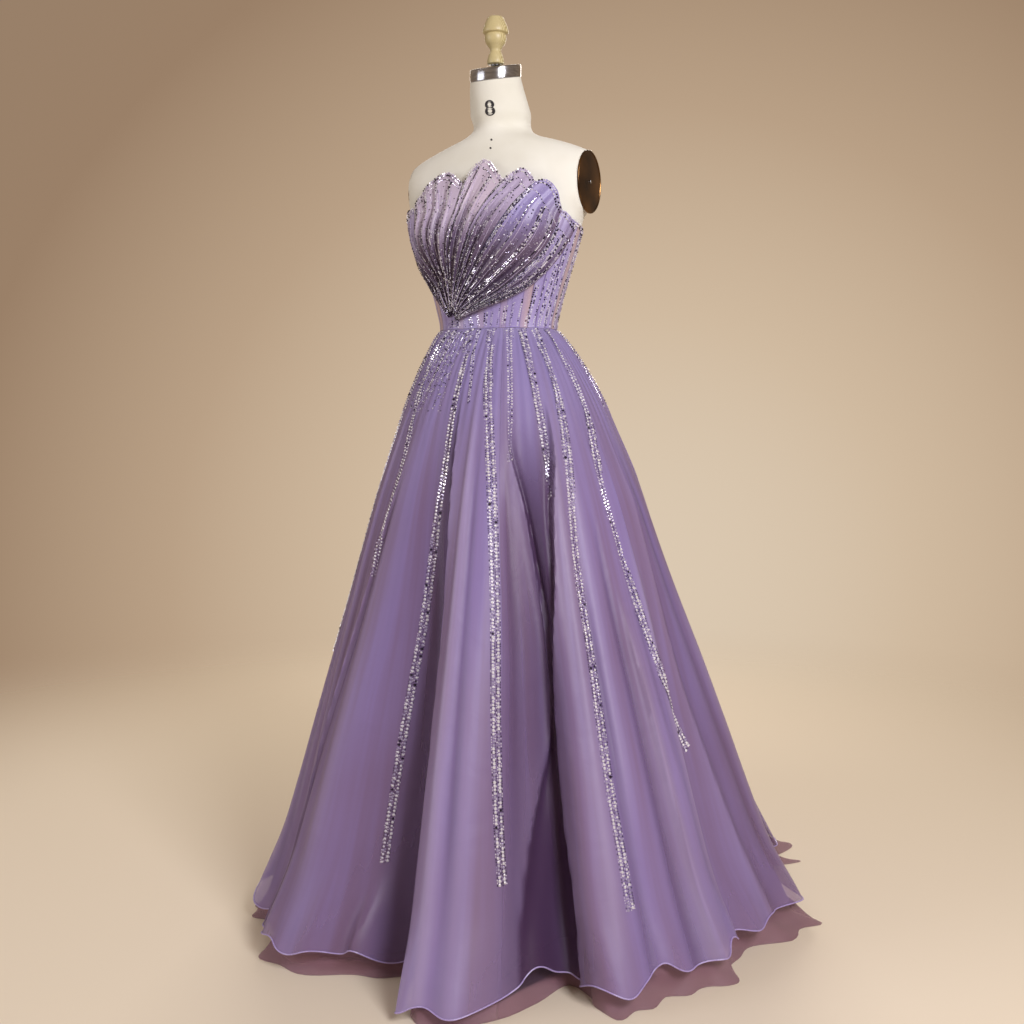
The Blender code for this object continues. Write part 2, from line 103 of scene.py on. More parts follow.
class Slot(Enum):
    """The record's material slots."""

    COVER = "form_cover"
    CHROME = "chrome"
    FINIAL = "finial_wood"
    BRONZE = "arm_bronze"
    IRON = "stand_iron"
    SATIN = "bodice_satin"
    PETAL = "petal_organza"
    SKIRT = "skirt_organza"
    TULLE = "under_tulle"
    BEADS = "glass_beads"


class Section(NamedTuple):
    """The form's half width and its depths to the front and back at one level."""

    rise: float
    half_width: float
    front: float
    back: float


TORSO = tuple(Section(*row) for row in (
    (-0.262, 0.128, 0.074, 0.122), (-0.250, 0.150, 0.090, 0.140), (-0.200, 0.166, 0.099, 0.155),
    (-0.120, 0.156, 0.094, 0.150), (-0.050, 0.130, 0.079, 0.132), (0.000, 0.1175, 0.070, 0.123),
    (0.050, 0.1280, 0.071, 0.128), (0.100, 0.1430, 0.078, 0.136), (0.150, 0.1600, 0.087, 0.142),
    (0.190, 0.1720, 0.092, 0.145), (0.225, 0.1840, 0.089, 0.144), (0.255, 0.2100, 0.082, 0.138),
    (0.285, 0.2280, 0.074, 0.128), (0.315, 0.2220, 0.065, 0.116), (0.336, 0.1950, 0.057, 0.102),
    (0.350, 0.1650, 0.052, 0.092), (0.364, 0.1260, 0.047, 0.086), (0.376, 0.0860, 0.042, 0.081),
    (0.386, 0.0670, 0.036, 0.084), (0.425, 0.0600, 0.040, 0.074), (0.4875, 0.0495, 0.0495, 0.0495),
))


class TopEdge(NamedTuple):
    """Rise of the bodice's upper edge at one turn."""

    turn: float
    rise: float


BODICE_TOP = tuple(TopEdge(*row) for row in (
    (-180.0, 0.150), (-140.0, 0.165), (-100.0, 0.195), (-70.0, 0.212), (-35.0, 0.222),
    (0.0, 0.205), (35.0, 0.222), (70.0, 0.208), (100.0, 0.196), (140.0, 0.165),
))


class Cut(NamedTuple):
    """A piece's flat cut: its widest width, its length and the area it fills."""

    width: float
    length: float
    area: float


class Panel(NamedTuple):
    """One cut piece between two seams, the number of its columns and its flat cut."""

    name: str
    start: float
    end: float
    columns: int
    cut: Cut


BODICE_PANELS = (
    Panel("bodice_front", -32.0, 32.0, 34, Cut(0.225, 0.235, 0.038)),
    Panel("bodice_side_front_left", 32.0, 76.0, 26, Cut(0.100, 0.235, 0.019)),
    Panel("bodice_side_left", 76.0, 120.0, 26, Cut(0.110, 0.215, 0.019)),
    Panel("bodice_back_left", 120.0, 180.0, 32, Cut(0.175, 0.185, 0.024)),
    Panel("bodice_back_right", -180.0, -120.0, 32, Cut(0.175, 0.185, 0.024)),
    Panel("bodice_side_right", -120.0, -76.0, 26, Cut(0.110, 0.215, 0.019)),
    Panel("bodice_side_front_right", -76.0, -32.0, 26, Cut(0.100, 0.235, 0.019)),
)
SKIRT_PANELS = (
    Panel("skirt_front", -26.0, 26.0, 84, Cut(0.70, 1.24, 0.47)),
    Panel("skirt_side_front_left", 26.0, 78.0, 84, Cut(0.61, 1.22, 0.41)),
    Panel("skirt_side_back_left", 78.0, 129.0, 84, Cut(0.66, 1.22, 0.44)),
    Panel("skirt_back_left", 129.0, 180.0, 84, Cut(0.74, 1.26, 0.51)),
    Panel("skirt_back_right", -180.0, -129.0, 84, Cut(0.66, 1.24, 0.45)),
    Panel("skirt_side_back_right", -129.0, -78.0, 84, Cut(0.62, 1.20, 0.41)),
    Panel("skirt_side_front_right", -78.0, -26.0, 84, Cut(0.55, 1.19, 0.36)),
)

UNDERSKIRT_CUTS = tuple(Cut(*row) for row in (
    (0.64, 1.24, 0.45), (0.64, 1.23, 0.41), (0.77, 1.29, 0.47), (0.84, 1.30, 0.51),
    (0.68, 1.26, 0.46), (0.60, 1.22, 0.40), (0.59, 1.21, 0.37),
))


class Petal(NamedTuple):
    """One petal of the fan: the ends and crest of its scalloped edge, ridges, warmth, gloom and cut."""

    name: str
    start_turn: float
    start_rise: float
    peak_turn: float
    peak_rise: float
    end_turn: float
    end_rise: float
    ridges: int
    warmth: float
    gloom: float
    cut: Cut


PETALS = (
    Petal("petal_1", -88.0, 0.190, -62.0, 0.230, -44.0, 0.238, 3, 0.30, -0.18, Cut(0.11, 0.23, 0.017)),
    Petal("petal_2", -44.0, 0.238, -17.0, 0.297, -6.0, 0.273, 4, 0.85, -0.08, Cut(0.16, 0.28, 0.026)),
    Petal("petal_3", -6.0, 0.273, 4.0, 0.315, 15.0, 0.275, 3, 1.00, 0.06, Cut(0.13, 0.31, 0.019)),
    Petal("petal_4", 15.0, 0.275, 25.0, 0.293, 32.0, 0.269, 3, 0.60, 0.18, Cut(0.09, 0.32, 0.019)),
    Petal("petal_5", 32.0, 0.269, 39.0, 0.271, 60.0, 0.218, 4, 0.00, 0.46, Cut(0.13, 0.33, 0.031)),
    Petal("petal_6", 60.0, 0.218, 67.0, 0.213, 80.0, 0.192, 3, 0.20, 0.48, Cut(0.06, 0.32, 0.016)),
)


class Spread(NamedTuple):
    """Share of the skirt's whole spread that is reached at one drop."""

    drop: float
    share: float


SKIRT_SPREAD = tuple(Spread(*row) for row in (
    (0.00, 0.000), (0.05, 0.088), (0.10, 0.160), (0.15, 0.220), (0.20, 0.272),
    (0.30, 0.370), (0.40, 0.455), (0.50, 0.540), (0.60, 0.628), (0.70, 0.715),
    (0.80, 0.800), (0.90, 0.892), (1.00, 1.000),
))


class Reach(NamedTuple):
    """The hem's radius and height at one turn, and how far the underskirt splays past it."""

    turn: float
    radius: float
    height: float
    splay: float


HEM_REACH = tuple(Reach(*row) for row in (
    (-180.0, 0.690, 0.022, 0.040), (-140.0, 0.620, 0.024, 0.030), (-100.0, 0.510, 0.032, 0.022),
    (-55.0, 0.464, 0.042, 0.020), (-25.0, 0.522, 0.040, 0.018), (12.0, 0.592, 0.024, 0.018),
    (45.0, 0.586, 0.040, 0.018), (68.0, 0.584, 0.050, 0.020), (90.0, 0.598, 0.046, 0.026),
    (122.0, 0.612, 0.034, 0.075), (150.0, 0.662, 0.024, 0.050),
))


class Fold(NamedTuple):
    """A deep fold of the skirt: where it lies, how it grows and which way it leans."""

    turn: float
    half_width: float
    depth: float
    begins: float
    lean: float


SKIRT_FOLDS = tuple(Fold(*row) for row in (
    (-1.0, 17.0, 0.130, 0.06, 10.0), (34.0, 13.0, 0.110, 0.10, 8.0), (84.0, 14.0, 0.045, 0.30, -4.0),
    (116.0, 17.0, 0.110, 0.14, 8.0), (152.0, 15.0, 0.120, 0.10, -7.0), (188.0, 16.0, 0.110, 0.12, 6.0),
    (222.0, 15.0, 0.120, 0.14, -8.0), (258.0, 17.0, 0.110, 0.10, 8.0), (296.0, 16.0, 0.100, 0.14, -8.0),
    (327.0, 10.0, 0.030, 0.40, 0.0),
))


class Crease(NamedTuple):
    """A soft trough or ridge, in millimetres, that runs down the skirt between two drops."""

    turn: float
    half_width: float
    height: float
    begins: float
    ends: float
    drift: float


SKIRT_CREASES = tuple(Crease(*row) for row in (
    (-44.0, 2.2, -4.0, 0.22, 0.90, 4.0), (-37.0, 1.6, 3.5, 0.05, 0.70, 6.0),
    (-30.0, 2.6, -3.5, 0.30, 1.10, 2.0), (-19.0, 1.8, 3.0, 0.10, 0.80, 1.0),
    (13.5, 1.2, 4.5, 0.05, 1.10, 2.0), (17.0, 1.0, -3.5, 0.12, 0.75, 1.5),
    (20.5, 1.5, 3.0, 0.40, 1.10, 0.0), (29.0, 1.3, -4.0, 0.18, 0.95, -2.0),
    (49.0, 1.6, 4.5, 0.12, 0.85, 0.5), (52.5, 1.1, -4.5, 0.34, 1.10, 2.5),
    (57.0, 1.8, 3.5, 0.06, 0.66, -1.0), (61.5, 1.3, -5.0, 0.26, 1.05, 2.0),
    (66.0, 1.9, 4.0, 0.44, 1.10, 1.0), (70.5, 1.2, -3.0, 0.08, 0.60, 3.0),
    (76.0, 2.0, 4.5, 0.30, 1.10, 3.0), (92.0, 1.6, -4.0, 0.15, 0.82, 5.0),
    (99.0, 2.2, 4.0, 0.38, 1.10, 2.0), (106.0, 1.4, 3.5, 0.06, 0.58, 4.0),
    (131.0, 1.7, -4.5, 0.20, 0.95, -3.0), (138.0, 2.1, 4.0, 0.35, 1.10, 1.0),
    (167.0, 1.5, 4.5, 0.10, 0.78, 2.0), (172.0, 1.2, -4.0, 0.28, 1.10, -1.0),
    (-156.0, 1.9, 4.0, 0.16, 0.90, 3.0), (-151.0, 1.3, -4.5, 0.40, 1.10, 0.0),
    (-124.0, 1.6, -3.5, 0.08, 0.72, -3.0), (-118.0, 2.2, 4.5, 0.30, 1.10, 2.0),
    (-87.0, 1.5, 4.0, 0.12, 0.86, 3.0), (-81.0, 1.2, -4.5, 0.34, 1.10, 1.0),
    (-55.0, 1.8, 4.0, 0.26, 1.10, -2.0),
))


class FoldEdge(NamedTuple):
    """A crisp fold line: the side its painted shadow falls on, its height, painted shadow, fade and path."""

    side: float
    height: float
    shadow: float
    fade: float
    path: tuple


FOLD_EDGES = (
    FoldEdge(-1.0, 0.009, 0.62, 7.5,
             ((0.10, 4.5), (0.32, 8.2), (0.49, 9.5), (0.65, 11.0), (0.85, 11.6), (1.00, 12.0))),
    FoldEdge(1.0, 0.006, 0.70, 7.0,
             ((0.12, 28.0), (0.20, 29.5), (0.30, 34.2), (0.41, 36.0), (0.50, 37.6), (0.62, 37.0),
              (0.74, 31.0), (0.90, 28.0), (1.00, 27.5))),
    FoldEdge(-1.0, 0.010, 0.74, 7.0,
             ((0.10, 50.4), (0.20, 50.2), (0.29, 46.8), (0.45, 44.2), (0.60, 40.6), (0.76, 40.0),
              (0.90, 41.5), (1.00, 40.5))),
    FoldEdge(1.0, 0.005, 0.35, 6.0, ((0.20, -20.0), (0.50, -23.0), (0.80, -27.0), (1.00, -28.0))),
    FoldEdge(-1.0, 0.004, 0.24, 5.0, ((0.40, 66.0), (0.70, 67.0), (1.00, 68.0))),
    FoldEdge(1.0, 0.005, 0.34, 6.0, ((0.15, 88.0), (0.50, 87.0), (0.80, 90.0), (1.00, 92.0))),
    FoldEdge(-1.0, 0.008, 0.55, 7.0, ((0.12, 122.0), (0.45, 124.0), (0.80, 127.0), (1.00, 129.0))),
    FoldEdge(1.0, 0.007, 0.50, 6.0, ((0.15, 146.0), (0.50, 143.0), (0.80, 141.0), (1.00, 140.0))),
    FoldEdge(-1.0, 0.008, 0.55, 7.0, ((0.14, -165.0), (0.50, -162.0), (0.80, -160.0), (1.00, -159.0))),
    FoldEdge(1.0, 0.007, 0.50, 6.0, ((0.12, -145.0), (0.50, -148.0), (0.80, -150.0), (1.00, -151.0))),
    FoldEdge(-1.0, 0.008, 0.55, 7.0, ((0.14, -96.0), (0.50, -92.0), (0.80, -90.0), (1.00, -88.0))),
    FoldEdge(1.0, 0.007, 0.50, 6.0, ((0.15, -70.0), (0.50, -73.0), (0.80, -75.0), (1.00, -76.0))),
)


class HemLobe(NamedTuple):
    """A lobe or arch of the outer hem: how far it swings out and up, in metres."""

    turn: float
    half_width: float
    out: float
    up: float


HEM_LOBES = tuple(HemLobe(*row) for row in (
    (-52.0, 6.0, 0.010, 0.004), (-38.0, 5.0, 0.006, -0.010), (-22.0, 4.0, 0.012, 0.002),
    (-12.5, 1.8, 0.010, 0.012), (-7.5, 1.5, 0.026, 0.026), (-3.0, 1.8, 0.004, -0.004),
    (12.0, 3.0, 0.016, -0.004), (20.0, 3.0, 0.010, -0.008), (29.5, 1.7, 0.006, 0.024),
    (40.0, 2.6, 0.004, -0.010), (48.5, 2.6, 0.010, -0.010), (57.0, 2.0, -0.004, 0.011),
    (66.0, 3.2, 0.008, -0.006), (75.0, 3.0, 0.004, 0.006), (86.0, 3.6, 0.012, -0.004),
    (98.0, 3.0, 0.008, 0.006), (107.0, 4.0, 0.010, -0.006), (128.0, 4.0, 0.012, 0.004),
    (140.0, 3.4, 0.008, -0.006), (163.0, 4.4, 0.012, 0.006), (176.0, 3.4, 0.010, -0.006),
    (-159.0, 4.6, 0.012, 0.006), (-146.0, 3.4, 0.008, -0.006), (-122.0, 4.6, 0.012, 0.006),
    (-112.0, 3.4, 0.008, -0.006), (-86.0, 4.6, 0.012, 0.006), (-76.0, 3.4, 0.008, -0.006),
))


def curve_through(rows: tuple, position: Any, around: Optional[float] = None) -> Grid:
    """Read a table's columns at a position, by a smooth curve through its rows.

    Args:
        rows: The table, with its first column rising.
        position: Where to read it, of any shape.
        around: The period of a table that closes on itself.

    Returns:
        The other columns, along one more axis than the position has.
    """
    table = np.array([tuple(row) for row in rows], dtype=float)
    if around:
        before = table.copy()
        after = table.copy()
        before[:, 0] -= around
        after[:, 0] += around
        table = np.vstack((before, table, after))
    keys = table[:, 0]
    values = table[:, 1:]
    slopes = np.gradient(values, keys, axis=0)
    position = np.asarray(position, dtype=float)
    index = np.clip(np.searchsorted(keys, position, side="right") - 1, 0, len(keys) - 2)
    span = keys[index + 1] - keys[index]
    part = np.clip((position - keys[index]) / span, 0.0, 1.0)[..., None]
    span = span[..., None]
    start = values[index] * (1 + 2 * part) * (1 - part) ** 2
    leave = slopes[index] * span * part * (1 - part) ** 2
    end = values[index + 1] * part ** 2 * (3 - 2 * part)
    arrive = slopes[index + 1] * span * part ** 2 * (part - 1)
    return start + leave + end + arrive


def wrap_turn(turn: Any) -> Grid:
    """Bring a turn into -180 to 180 degrees."""
    return (np.asarray(turn, dtype=float) + 180.0) % 360.0 - 180.0


def ease(value: Any) -> Grid:
    """Rise smoothly from 0 to 1 as the value does."""
    value = np.clip(value, 0.0, 1.0)
    return value * value * (3.0 - 2.0 * value)


def fold_shape(fold: Fold, turn: Grid) -> Grid:
    """A fold's depth over its width, 1 along its middle and 0 at its sides."""
    away = np.clip(np.abs(wrap_turn(turn - fold.turn)) / fold.half_width, 0.0, 1.0)
    return np.cos(away * math.pi / 2) ** 2


def unit(vectors: Grid) -> Grid:
    """Vectors scaled to a length of 1."""
    return vectors / np.maximum(np.linalg.norm(vectors, axis=-1, keepdims=True), 1e-12)


def lengths_along(points: Grid) -> Grid:
    """Distance walked along a row of points to each of them."""
    return np.concatenate(([0.0], np.cumsum(np.linalg.norm(np.diff(points, axis=0), axis=-1))))


def moved_out(surface: Surface, across: Grid, along: Grid, distance: Any) -> Grid:
    """Points of a surface moved out along its normal.

    Args:
        surface: The surface, a function of its two coordinates.
        across: The first coordinate.
        along: The second coordinate.
        distance: How far to move, a number or a grid.

    Returns:
        The moved points.
    """
    point = surface(across, along)
    sideways = surface(across + STEP, along) - surface(across - STEP, along)
    upward = surface(across, along + STEP) - surface(across, along - STEP)
    normal = np.cross(sideways, upward)
    normal /= np.maximum(np.linalg.norm(normal, axis=-1, keepdims=True), 1e-15)
    return point + normal * np.broadcast_to(distance, across.shape)[..., None]


def stand_on(surface: Surface, across: Grid, along: Grid) -> tuple[Grid, Grid]:
    """Points of a surface and its normals there."""
    base = moved_out(surface, across, along, 0.0)
    return base, moved_out(surface, across, along, 1.0) - base


def seam_inset(surface: Surface, turn: Grid, along: Grid, gap: float) -> Grid:
    """Degrees that half a seam gap takes at a point of a surface.

    Args:
        surface: The surface.
        turn: Turns in degrees.
        along: The second coordinate.
        gap: Width left at a seam.

    Returns:
        Degrees.
    """
    probe = 0.05
    reach = surface(turn + probe, along) - surface(turn - probe, along)
    return gap * probe / np.linalg.norm(reach, axis=-1)


def panel_turns(surface: Surface, panel: Panel, along: Grid, gap: float = SEAM_GAP) -> Grid:
    """Turns of a panel's columns on each row, inset at both seams.

    Args:
        surface: The surface.
        panel: The panel.
        along: One coordinate a row.
        gap: Width left at a seam.

    Returns:
        Turns, one row for each row of the panel.
    """
    start = np.full_like(along, panel.start)
    end = np.full_like(along, panel.end)
    start = start + seam_inset(surface, start, along, gap)
    end = end - seam_inset(surface, end, along, gap)
    steps = np.linspace(0.0, 1.0, panel.columns)
    return start[:, None] + (end - start)[:, None] * steps[None, :]


@dataclass
class TorsoShape:
    """The form's skin, which the bodice and the waist follow."""

    waist: float
    neck_base: float = 0.386
    neck_tilt: float = 14.0
    bust_turn: float = 29.0
    bust_turn_spread: float = 24.0
    bust_rise: float = 0.172
    bust_rise_spread: float = 0.058
    bust_swell: float = 0.20
    shoulder_back: float = 0.024
    shoulder_back_from: float = 0.200
    shoulder_back_to: float = 0.280

    def point(self, turn: Grid, rise: Grid) -> Grid:
        """A point on the skin at a turn and a rise.

        Args:
            turn: Turns in degrees.
            rise: Rises in metres.

        Returns:
            Points on the skin.
        """
        columns = curve_through(TORSO, rise)
        angle = np.radians(turn)
        forward = np.cos(angle)
        depth = np.where(forward > 0, columns[..., 1], columns[..., 2])
        away = (np.abs(wrap_turn(turn)) - self.bust_turn) / self.bust_turn_spread
        level = (np.asarray(rise) - self.bust_rise) / self.bust_rise_spread
        swell = 1.0 + self.bust_swell * np.exp(-away ** 2 - level ** 2)
        up_neck = np.clip((rise - self.neck_base) / (TORSO[-1].rise - self.neck_base), 0.0, 1.0)
        shoulder = self.shoulder_back_to - self.shoulder_back_from
        set_back = ease((rise - self.shoulder_back_from) / shoulder)
        set_back = self.shoulder_back * set_back * (1.0 - ease(up_neck)) * np.sin(angle) ** 2
        x = columns[..., 0] * np.sin(angle) * swell
        y = set_back - depth * forward * swell
        z = self.waist + rise + math.tan(math.radians(self.neck_tilt)) * up_neck * y
        return np.stack((x, y, z), axis=-1)


@dataclass
class SkirtShape:
    """The outer skirt's inner face, and the underskirt's outer face behind it."""

    torso: TorsoShape
    fold_late: float = 0.45
    fold_lean_rate: float = 2.0
    waves: int = 19
    wave_depth: float = 0.005
    wave_begins: float = 0.72
    under_seat: float = 0.0006
    under_inset: float = 0.0092
    under_inset_drop: float = 0.25
    under_waves: int = 15
    under_wave_share: float = 0.45
    under_splay_curve: float = 1.5
    floor_clear: float = 0.0006
    ruffles: int = 33
    ruffle_out: float = 0.0065
    ruffle_up: float = 0.0045
    flare: float = 0.004
    flare_from: float = 0.90
    gathers: int = 77
    gather_height: float = 0.0009
    gather_sway: float = 2.0
    gather_sways: float = 5.0
    gather_full: float = 0.02
    gather_fade: float = 0.30
    crease_grows: float = 0.22
    crease_fades: float = 0.20
    full_crease: float = 5.0
    edge_grows: float = 0.16
    edge_slope: float = 2.6
    edge_drop: float = 0.45
    trough: tuple = (0.7, 1.5, 1.1)
    # Strengths of the painted shade and painted highlight that shade() works out for the skirt's colour
    shadow_lead: float = 0.25
    shadow_over: float = 0.5
    deepest_fold: float = 0.13
    fold_shade: float = 0.40
    fold_shade_over: float = 0.45
    edge_light: float = 0.5
    trough_shade: float = 0.40
    ridge_light: float = 0.45
    darkest: float = 0.92
    lobes_from: float = 0.86
    ruffle_sway: float = 1.9
    ruffle_sways: float = 5.0
    ruffle_lag: float = 0.8
    under_crease_share: float = 0.5
    under_ruffle: float = 0.42
    under_ruffles: float = 41.0
    under_sway: float = 1.7
    under_sways: float = 7.0
    under_lift: float = 0.009
    under_lifts: float = 29.0

    def outer(self, turn: Grid, fall: Grid) -> Grid:
        """A point of the plain skirt, before its soft creases.

        Args:
            turn: Turns in degrees.
            fall: Minus the drop.

        Returns:
            Points.
        """
        drop = -np.asarray(fall, dtype=float)
        turn = np.asarray(turn, dtype=float)
        share = curve_through(SKIRT_SPREAD, drop)[..., 0]
        waist = self.torso.point(turn, np.zeros_like(turn))
        reach = curve_through(HEM_REACH, wrap_turn(turn), around=360.0)
        depth = np.zeros_like(turn)
        lean = np.zeros_like(turn)
        for fold in SKIRT_FOLDS:
            shape = fold_shape(fold, turn)
            grown = np.clip((drop - fold.begins) / (1.0 - fold.begins), 0.0, 1.0)
            grown = self.fold_late * ease(grown) + (1.0 - self.fold_late) * grown
            depth = depth + fold.depth * shape * grown
            lean = lean + fold.lean * shape * ease(grown * self.fold_lean_rate)
        wave = 0.5 + 0.5 * np.cos(np.radians(turn) * self.waves)
        late = ease((drop - self.wave_begins) / (1.0 - self.wave_begins))
        depth = depth + self.wave_depth * wave * late
        angle = np.radians(turn + lean)
        direction = np.stack((np.sin(angle), -np.cos(angle)), axis=-1)
        hem = direction * reach[..., 0:1]
        flat = waist[..., :2] + (hem - waist[..., :2]) * share[..., None]
        flat = flat - direction * depth[..., None]
        height = self.torso.waist + (reach[..., 1] - self.torso.waist) * drop
        return np.concatenate((flat, height[..., None]), axis=-1)

    def crease_shape(self, crease: Crease, turn: Grid, drop: Grid) -> Grid:
        """Height of one soft crease from 0 to 1, grown in below its head and out at its foot.

        Args:
            crease: The crease.
            turn: Turns in degrees.
            drop: Drops.

        Returns:
            Heights.
        """
        away = wrap_turn(turn - crease.turn - crease.drift * drop) / crease.half_width
        grown = ease((drop - crease.begins) / self.crease_grows)
        grown = grown * (1.0 - ease((drop - crease.ends) / self.crease_fades))
        return np.exp(-away ** 2) * grown

    def crease_height(self, turn: Grid, drop: Grid) -> Grid:
        """How far the soft creases and the waist gathers stand out, in metres.

        Args:
            turn: Turns in degrees.
            drop: Drops.

        Returns:
            Heights in metres.
        """
        height = np.zeros_like(drop)
        for crease in SKIRT_CREASES:
            height = height + MILLIMETRE * crease.height * self.crease_shape(crease, turn, drop)
        for edge in FOLD_EDGES:
            height = height + edge.height * self.edge_shape(edge, turn, drop)[0]
        angle = np.radians(turn)
        ripple = np.sin(angle * self.gathers + self.gather_sway * np.sin(angle * self.gather_sways))
        near_waist = ease(drop / self.gather_full)
        near_waist = near_waist * (1.0 - ease((drop - self.gather_full) / self.gather_fade))
        return height + self.gather_height * ripple * near_waist

    def edge_shape(self, edge: FoldEdge, turn: Grid, drop: Grid) -> tuple[Grid, Grid]:
        """Height of a crisp fold line, and the painted shadow beside it, both from 0 to 1.

        Args:
            edge: The fold line.
            turn: Turns in degrees.
            drop: Drops.

        Returns:
            Heights and painted shadows.
        """
        line = curve_through(edge.path, drop)[..., 0]
        beside = wrap_turn(turn - line) * edge.side
        grown = ease((drop - edge.path[0][0]) / self.edge_grows)
        slope = np.where(beside < 0.0, np.exp(np.minimum(beside, 0.0) / self.edge_slope),
                         np.exp(-(beside / self.edge_drop) ** 2))
        depth, middle, width = self.trough
        trough = depth * np.exp(-((beside - middle) / width) ** 2)
        fade = np.exp(-np.maximum(beside, 0.0) / edge.fade)
        fade = fade * ease((beside + self.shadow_lead) / self.shadow_over)
        return (slope - trough) * grown, fade * grown

    def shade(self, turn: Grid, drop: Grid) -> tuple[Grid, Grid]:
        """Painted shade for folds, fold edges and troughs, and painted highlight for ridges and fold edges,
        both from 0 to 1.

        Args:
            turn: Turns in degrees.
            drop: Drops.

        Returns:
            Painted shade and painted highlight.
        """
        dark = np.zeros_like(drop)
        light = np.zeros_like(drop)
        for fold in SKIRT_FOLDS:
            painted_fold_shade = fold.depth / self.deepest_fold * fold_shape(fold, turn)
            dark = dark + self.fold_shade * painted_fold_shade * ease((drop - fold.begins) / self.fold_shade_over)
        for edge in FOLD_EDGES:
            height, shadow = self.edge_shape(edge, turn, drop)
            dark = dark + edge.shadow * shadow
            light = light + self.edge_light * edge.shadow * np.clip(height, 0.0, 1.0) * (1.0 - shadow)
        for crease in SKIRT_CREASES:
            shape = self.crease_shape(crease, turn, drop) * crease.height / self.full_crease
            dark = dark + self.trough_shade * np.maximum(-shape, 0.0)
            light = light + self.ridge_light * np.maximum(shape, 0.0)
        return np.clip(dark, 0.0, self.darkest), np.clip(light * (1.0 - dark), 0.0, 1.0)

    def hem_shift(self, turn: Grid, drop: Grid) -> Grid:
        """How far the hem's lobes swing a point out and up.

        Args:
            turn: Turns in degrees.
            drop: Drops.

        Returns:
            Shifts in metres.
        """
        out = np.zeros_like(drop)
        rise = np.zeros_like(drop)
        late = ease((drop - self.lobes_from) / (1.0 - self.lobes_from))
        for lobe in HEM_LOBES:
            shape = np.exp(-(wrap_turn(turn - lobe.turn) / lobe.half_width) ** 2) * late
            out = out + lobe.out * shape
            rise = rise + lobe.up * shape
        angle = np.radians(turn)
        ruffle = angle * self.ruffles + self.ruffle_sway * np.sin(angle * self.ruffle_sways)
        flare = ease((drop - self.flare_from) / (1.0 - self.flare_from))
        out = out + self.flare * flare + self.ruffle_out * np.sin(ruffle) * flare
        rise = rise + self.ruffle_up * np.cos(ruffle + self.ruffle_lag) * flare
        return np.stack((np.sin(angle) * out, -np.cos(angle) * out, rise), axis=-1)

    def draped(self, turn: Grid, fall: Grid) -> Grid:
        """A point on the finished skirt's outer face, with its creases and lobes.

        Args:
            turn: Turns in degrees.
            fall: Minus the drop.

        Returns:
            Points.
        """
        drop = np.clip(-fall, 0.0, SHORT_OF_HEM)
        out = LINING_CLEAR + SKIRT_WALL + self.crease_height(turn, drop)
        point = moved_out(self.outer, turn, -drop, out) + self.hem_shift(turn, drop)
        point[..., 2] = np.minimum(point[..., 2], self.torso.waist)
        return point

    def under(self, turn: Grid, fall: Grid) -> Grid:
        """A point on the underskirt's outer face, which goes on past the outer hem.

        Args:
            turn: Turns in degrees.
            fall: Minus the drop.

        Returns:
            Points.
        """
        drop = -np.asarray(fall, dtype=float)
        above = np.clip(drop, 0.0, SHORT_OF_HEM)
        past = np.clip(drop - 1.0, 0.0, None)
        below_waist = ease(above / self.under_inset_drop)
        offset = self.under_seat - (self.under_seat + self.under_inset) * below_waist
        offset = offset + self.under_crease_share * self.crease_height(turn, above) * below_waist
        point = moved_out(self.outer, turn, -above, offset)
        angle = np.radians(turn)
        wave = 1.0 + self.under_wave_share * np.cos(angle * self.under_waves)
        ruffle = angle * self.under_ruffles + self.under_sway * np.sin(angle * self.under_sways)
        ruffle = self.under_ruffle * np.sin(ruffle)
        splay = curve_through(HEM_REACH, wrap_turn(turn), around=360.0)[..., 2]
        splay = splay * (wave + ruffle * past) * past ** self.under_splay_curve
        point = point + np.stack((np.sin(angle) * splay, -np.cos(angle) * splay, 0.0 * splay), axis=-1)
        lift = self.under_lift * np.sin(angle * self.under_lifts)
        lift = lift * ease(past * 2.0) * (1.0 - ease(past * 2.0 - 1.0))
        point[..., 2] = np.maximum(point[..., 2] * (1.0 - past) + lift, self.floor_clear)
        return point


